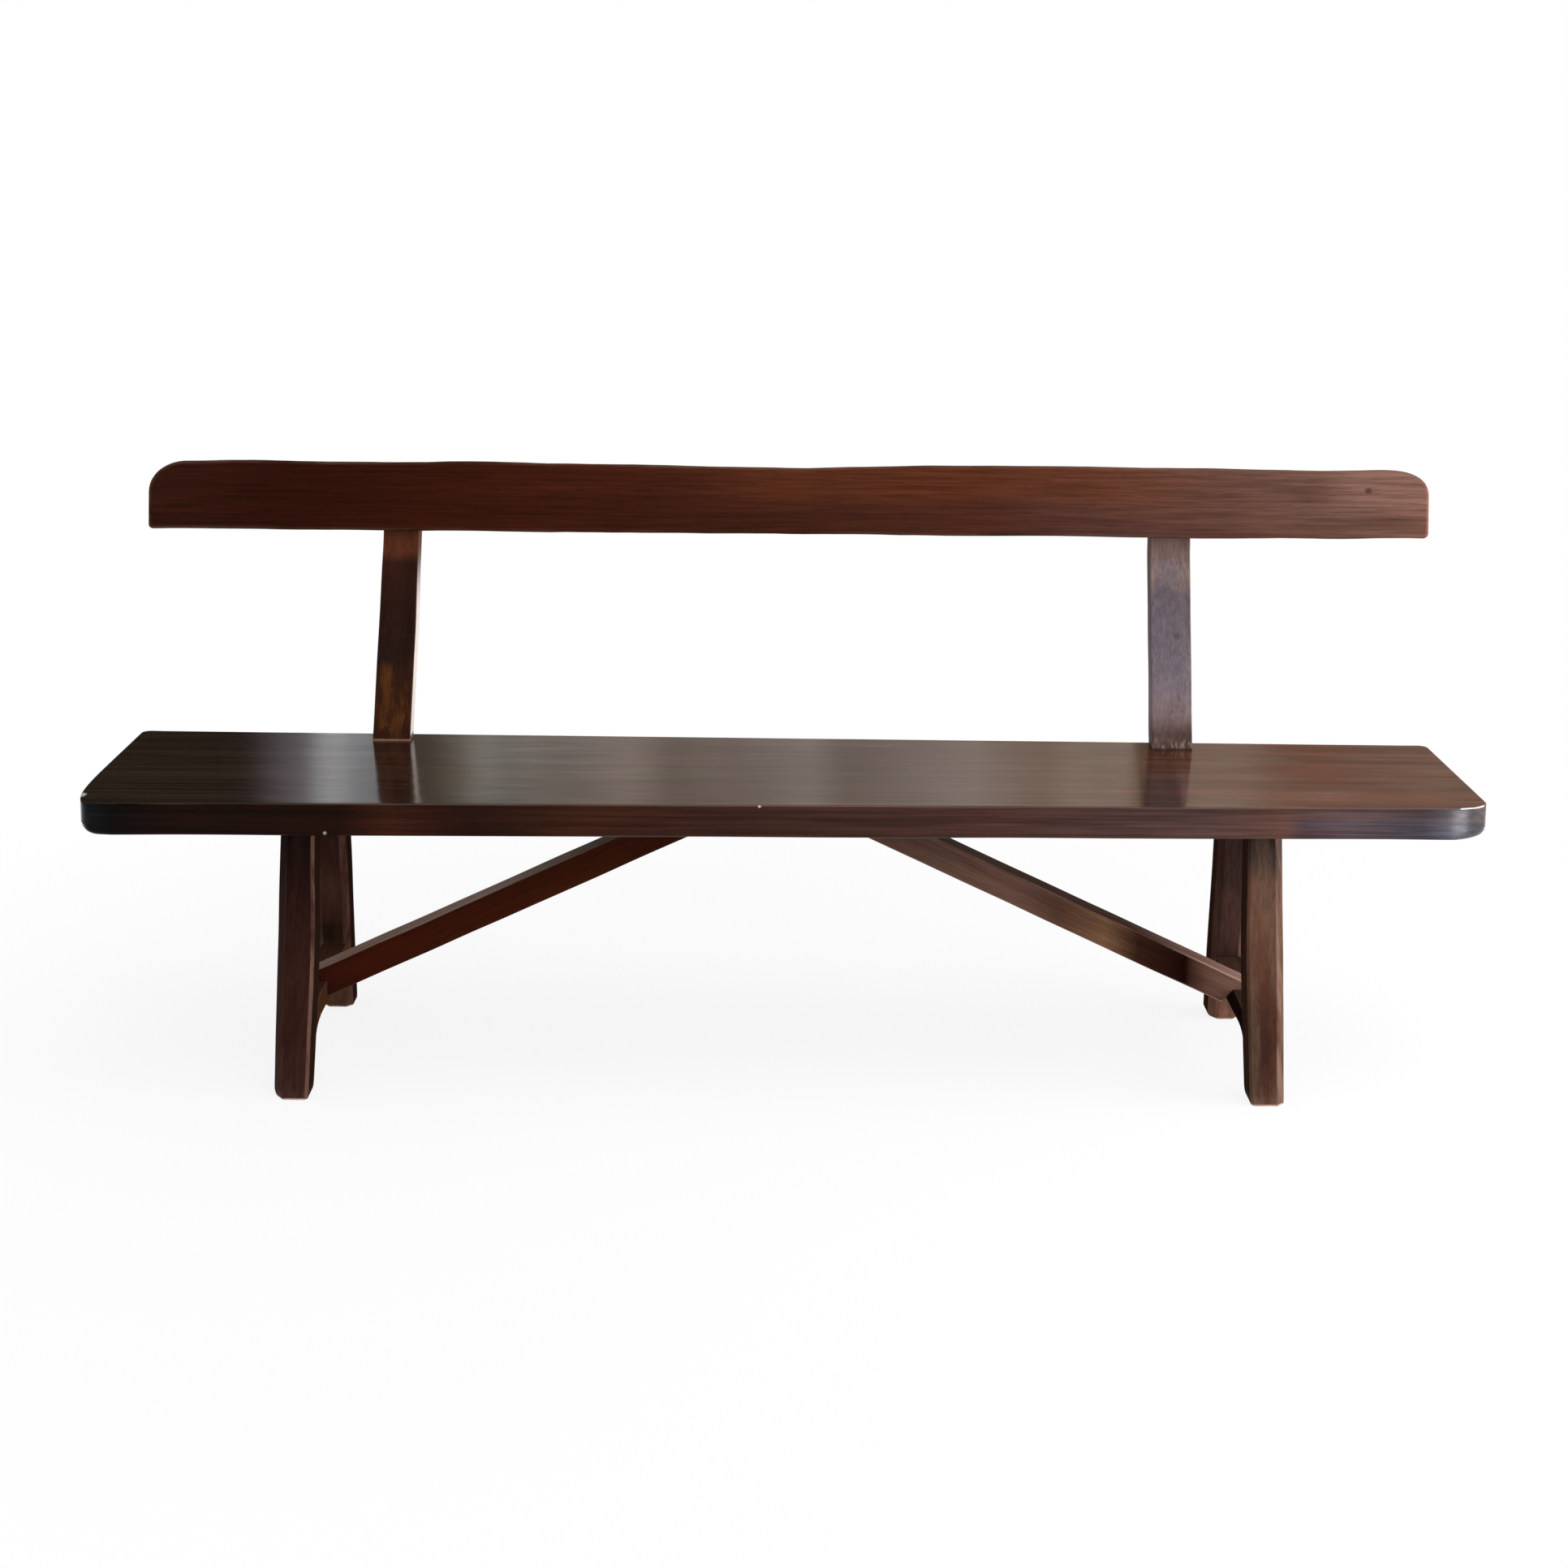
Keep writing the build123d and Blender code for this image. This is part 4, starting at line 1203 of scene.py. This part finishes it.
def right_post_wood():
    """The right back post: under a painted plum-grey sheen, standing for reflected light from the right, with
    pale fibres at its foot.
    """
    # Colours up the post; the plum-grey of its middle is painted sheen
    stops = [
        (0.435, 82, 62, 56), (0.458, 86, 64, 57), (0.485, 122, 104, 103), (0.53, 115, 102, 107),
        (0.60, 97, 85, 90), (0.66, 90, 78, 82), (0.70, 109, 96, 98), (0.725, 112, 90, 84),
        (0.85, 100, 76, 68),
    ]
    wood = Wood("post right wood", stops, "Z", (0, 90, 0), (2.1, 0.9, 0.5), 0.8)
    figure = wood.span(wood.figure, 0.48, 0.62)
    wood.glaze(wood.product(figure, wood.span(wood.z, 0.66, 0.70)), shade(134, 106, 88))
    # Painted sheen: plum-grey patches laid over the lower post
    painted_sheen = wood.span(wood.cloud, 0.5, 0.66, 0.0, 0.7)
    wood.glaze(wood.product(painted_sheen, wood.span(wood.z, 0.70, 0.64)), shade(98, 90, 98))
    wood.glaze(wood.product(wood.spot((0.609, line_y + 0.19, 0.602), 0.008), 0.6), shade(70, 58, 64), 0.3)
    frayed = wood.span(wood.noise(wood.grain, (14, 260, 260), 4, 0.65), 0.48, 0.66)
    at_foot = wood.span(wood.z, seat_top + 0.022, seat_top + 0.006)
    wood.glaze(wood.product(frayed, 0.6, at_foot), shade(160, 136, 126), 0.5)
    wood.glaze(wood.span(wood.z, seat_top + 0.003, seat_top + 0.0015, 0.0, 0.8), shade(48, 26, 20), 0.3)
    return wood.finish(shade(150, 124, 112), gloss=0.5, sheen=0.03, relief=0.3, rub=0.4)


def wedge_wood():
    """The paler end grain of wedges and pegs."""
    wood = Wood("wedge wood", [(-1.0, 84, 54, 36), (1.0, 104, 70, 48)], "X", (0, 90, 0))
    return wood.finish(shade(140, 100, 74), gloss=0.5)


def old_steel():
    """Dull darkened steel for the screws."""
    recipe = Recipe("darkened steel")
    dark_patch = recipe.noise(recipe.here, (160, 160, 160), 4, 0.6)
    tone = recipe.mix(recipe.span(dark_patch, 0.4, 0.65), shade(92, 86, 80), shade(48, 38, 32))
    recipe.set("Base Color", tone)
    recipe.set("Roughness", recipe.span(dark_patch, 0.35, 0.7, 0.32, 0.6))
    recipe.set("Metallic", 0.9)
    return recipe.material


wedge_finish = wedge_wood()
steel = old_steel()
sides = [("left", left_post_wood, left_brace_wood), ("right", right_post_wood, right_brace_wood)]

make_seat(seat_wood())
make_rail(rail_wood())
for side, post_wood, brace_wood in sides:
    make_post(side, post_wood())
    make_cross_rail(side, cross_rail_wood(side))
    make_brace(side, brace_wood())
    for end in rearward:
        make_leg(end, side, leg_wood(end, side))

make_pegs(wedge_finish)
make_tenon_wedges(wedge_finish)
make_screws("back_rail_screws", rail_screw_places(), 0.040, steel)
make_screws("brace_head_screws", head_screw_places(), 0.055, steel)
make_screws("brace_foot_screws", foot_screw_places(), 0.046, steel)

hidden_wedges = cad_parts["leg_tenon_wedges"].data
hidden_wedges.materials.clear()
hidden_wedges.materials.append(wedge_finish)


def white_floor():
    """A pale floor that shows white, keeps the bench's soft shadow and ends without an edge."""
    recipe = Recipe("pale floor")
    matt = recipe.add("ShaderNodeBsdfDiffuse", {"Color": (0.9, 0.9, 0.9, 1)})
    glow = recipe.add("ShaderNodeEmission", {"Color": (1, 1, 1, 1)})
    far = recipe.add("ShaderNodeVectorMath", {0: recipe.here}, operation="LENGTH").outputs["Value"]
    share = recipe.product(recipe.seen(), recipe.span(far, 0.7, 2.0, 0.86, 1.0))
    return recipe.show(recipe.add("ShaderNodeMixShader", {0: share, 1: matt.outputs[0], 2: glow.outputs[0]}))


def lay_floor():
    """The floor under the bench, a wide sheet with a soft far edge."""
    shape = bmesh.new()
    bmesh.ops.create_grid(shape, x_segments=8, y_segments=8, size=30)
    floor = made_of(white_floor(), "floor", shape)
    floor.location = (0, 0, -0.0005)


def room_glow():
    """What the polish reflects: dim walls, behind the bench with paler upright bands."""
    recipe = Recipe("room glow")
    behind, in_front = [
        recipe.ramp(recipe.x, [(x, (*level, 1)) for x, *level in levels])
        for levels in (walls_behind, walls_in_front)
    ]
    colour = recipe.mix(recipe.span(recipe.y, 0.3, -0.3), behind, in_front)
    uneven = recipe.span(recipe.noise(recipe.here, (4.5, 4.5, 7), 4, 0.65), 0.3, 0.7, 0.70, 1.24)
    higher = recipe.product(recipe.span(recipe.z, 1.0, 1.3, -0.05, 0.22), recipe.span(recipe.x, -0.3, 0.6))
    strength = recipe.math("ADD", uneven, higher)
    return recipe.show(recipe.add("ShaderNodeEmission", {"Color": colour, "Strength": strength}))


def stand_walls():
    """A ring of dim walls round the bench that only reflections see."""
    shape = bmesh.new()
    ring = bmesh.ops.create_circle(shape, segments=96, radius=wall_radius)
    edges = list({edge for vertex in ring["verts"] for edge in vertex.link_edges})
    raised = bmesh.ops.extrude_edge_only(shape, edges=edges)
    tall = [part for part in raised["geom"] if isinstance(part, bmesh.types.BMVert)]
    bmesh.ops.translate(shape, verts=tall, vec=(0, 0, wall_height))
    walls = made_of(room_glow(), "walls", shape)
    walls.visible_camera = False
    walls.visible_diffuse = False
    walls.visible_shadow = False
    walls.visible_transmission = False
    walls.visible_volume_scatter = False


def soft_lamp(name, place, aim, width, height, power):
    """A large soft studio lamp."""
    data = bpy.data.lights.new(name, "AREA")
    data.shape = "RECTANGLE"
    data.size, data.size_y = width, height
    data.energy = power
    data.color = (0.95, 0.975, 1.0)
    lamp = put_in_scene(name, data)
    lamp.location = place
    lamp.rotation_euler = (Vector(aim) - Vector(place)).to_track_quat("-Z", "Y").to_euler()


def set_world():
    """White behind the bench, and a softer level of light on it."""
    world = bpy.data.worlds.new("white room")
    bpy.context.scene.world = world
    world.use_nodes = True
    world.node_tree.nodes.clear()
    sky = Nodes(world.node_tree)
    shown = sky.add("ShaderNodeBackground", {"Color": (1, 1, 1, 1)})
    lit = sky.add("ShaderNodeBackground", {"Color": (1, 1, 1, 1), "Strength": 0.55})
    both = sky.add("ShaderNodeMixShader", {0: sky.seen(), 1: lit.outputs[0], 2: shown.outputs[0]})
    sky.add("ShaderNodeOutputWorld", {"Surface": both.outputs[0]})


def set_camera():
    """The photograph's camera, found by fitting the bench's members to it."""
    data = bpy.data.cameras.new("camera")
    data.sensor_width = 36
    data.lens = 54.58
    data.shift_x = 0.00799
    data.shift_y = -0.1746
    data.clip_end = 100
    camera = put_in_scene("camera", data)
    tilt = Matrix.Rotation(math.radians(81), 4, "X") @ Matrix.Rotation(0.0092, 4, "Z")
    camera.matrix_world = Matrix.Translation((-0.02105, line_y - 3.4153, 1.36496)) @ tilt
    bpy.context.scene.camera = camera


lay_floor()
stand_walls()
soft_lamp("lamp above", (0.5, -0.9, 3.6), (0, 0, 0.5), 3.2, 2.2, 50)
soft_lamp("lamp in front", (1.6, -3.6, 1.9), (0, 0, 0.5), 2.0, 1.6, 25)
soft_lamp("lamp on the right", (2.35, -0.4, 0.9), (0, 0, 0.5), 1.25, 1.3, 33)
soft_lamp("low lamp on the right", (1.72, -1.24, 0.17), (0.97, -0.16, 0.41), 0.46, 0.28, 3.6)
set_world()
set_camera()

bpy.context.scene.view_settings.view_transform = "Standard"
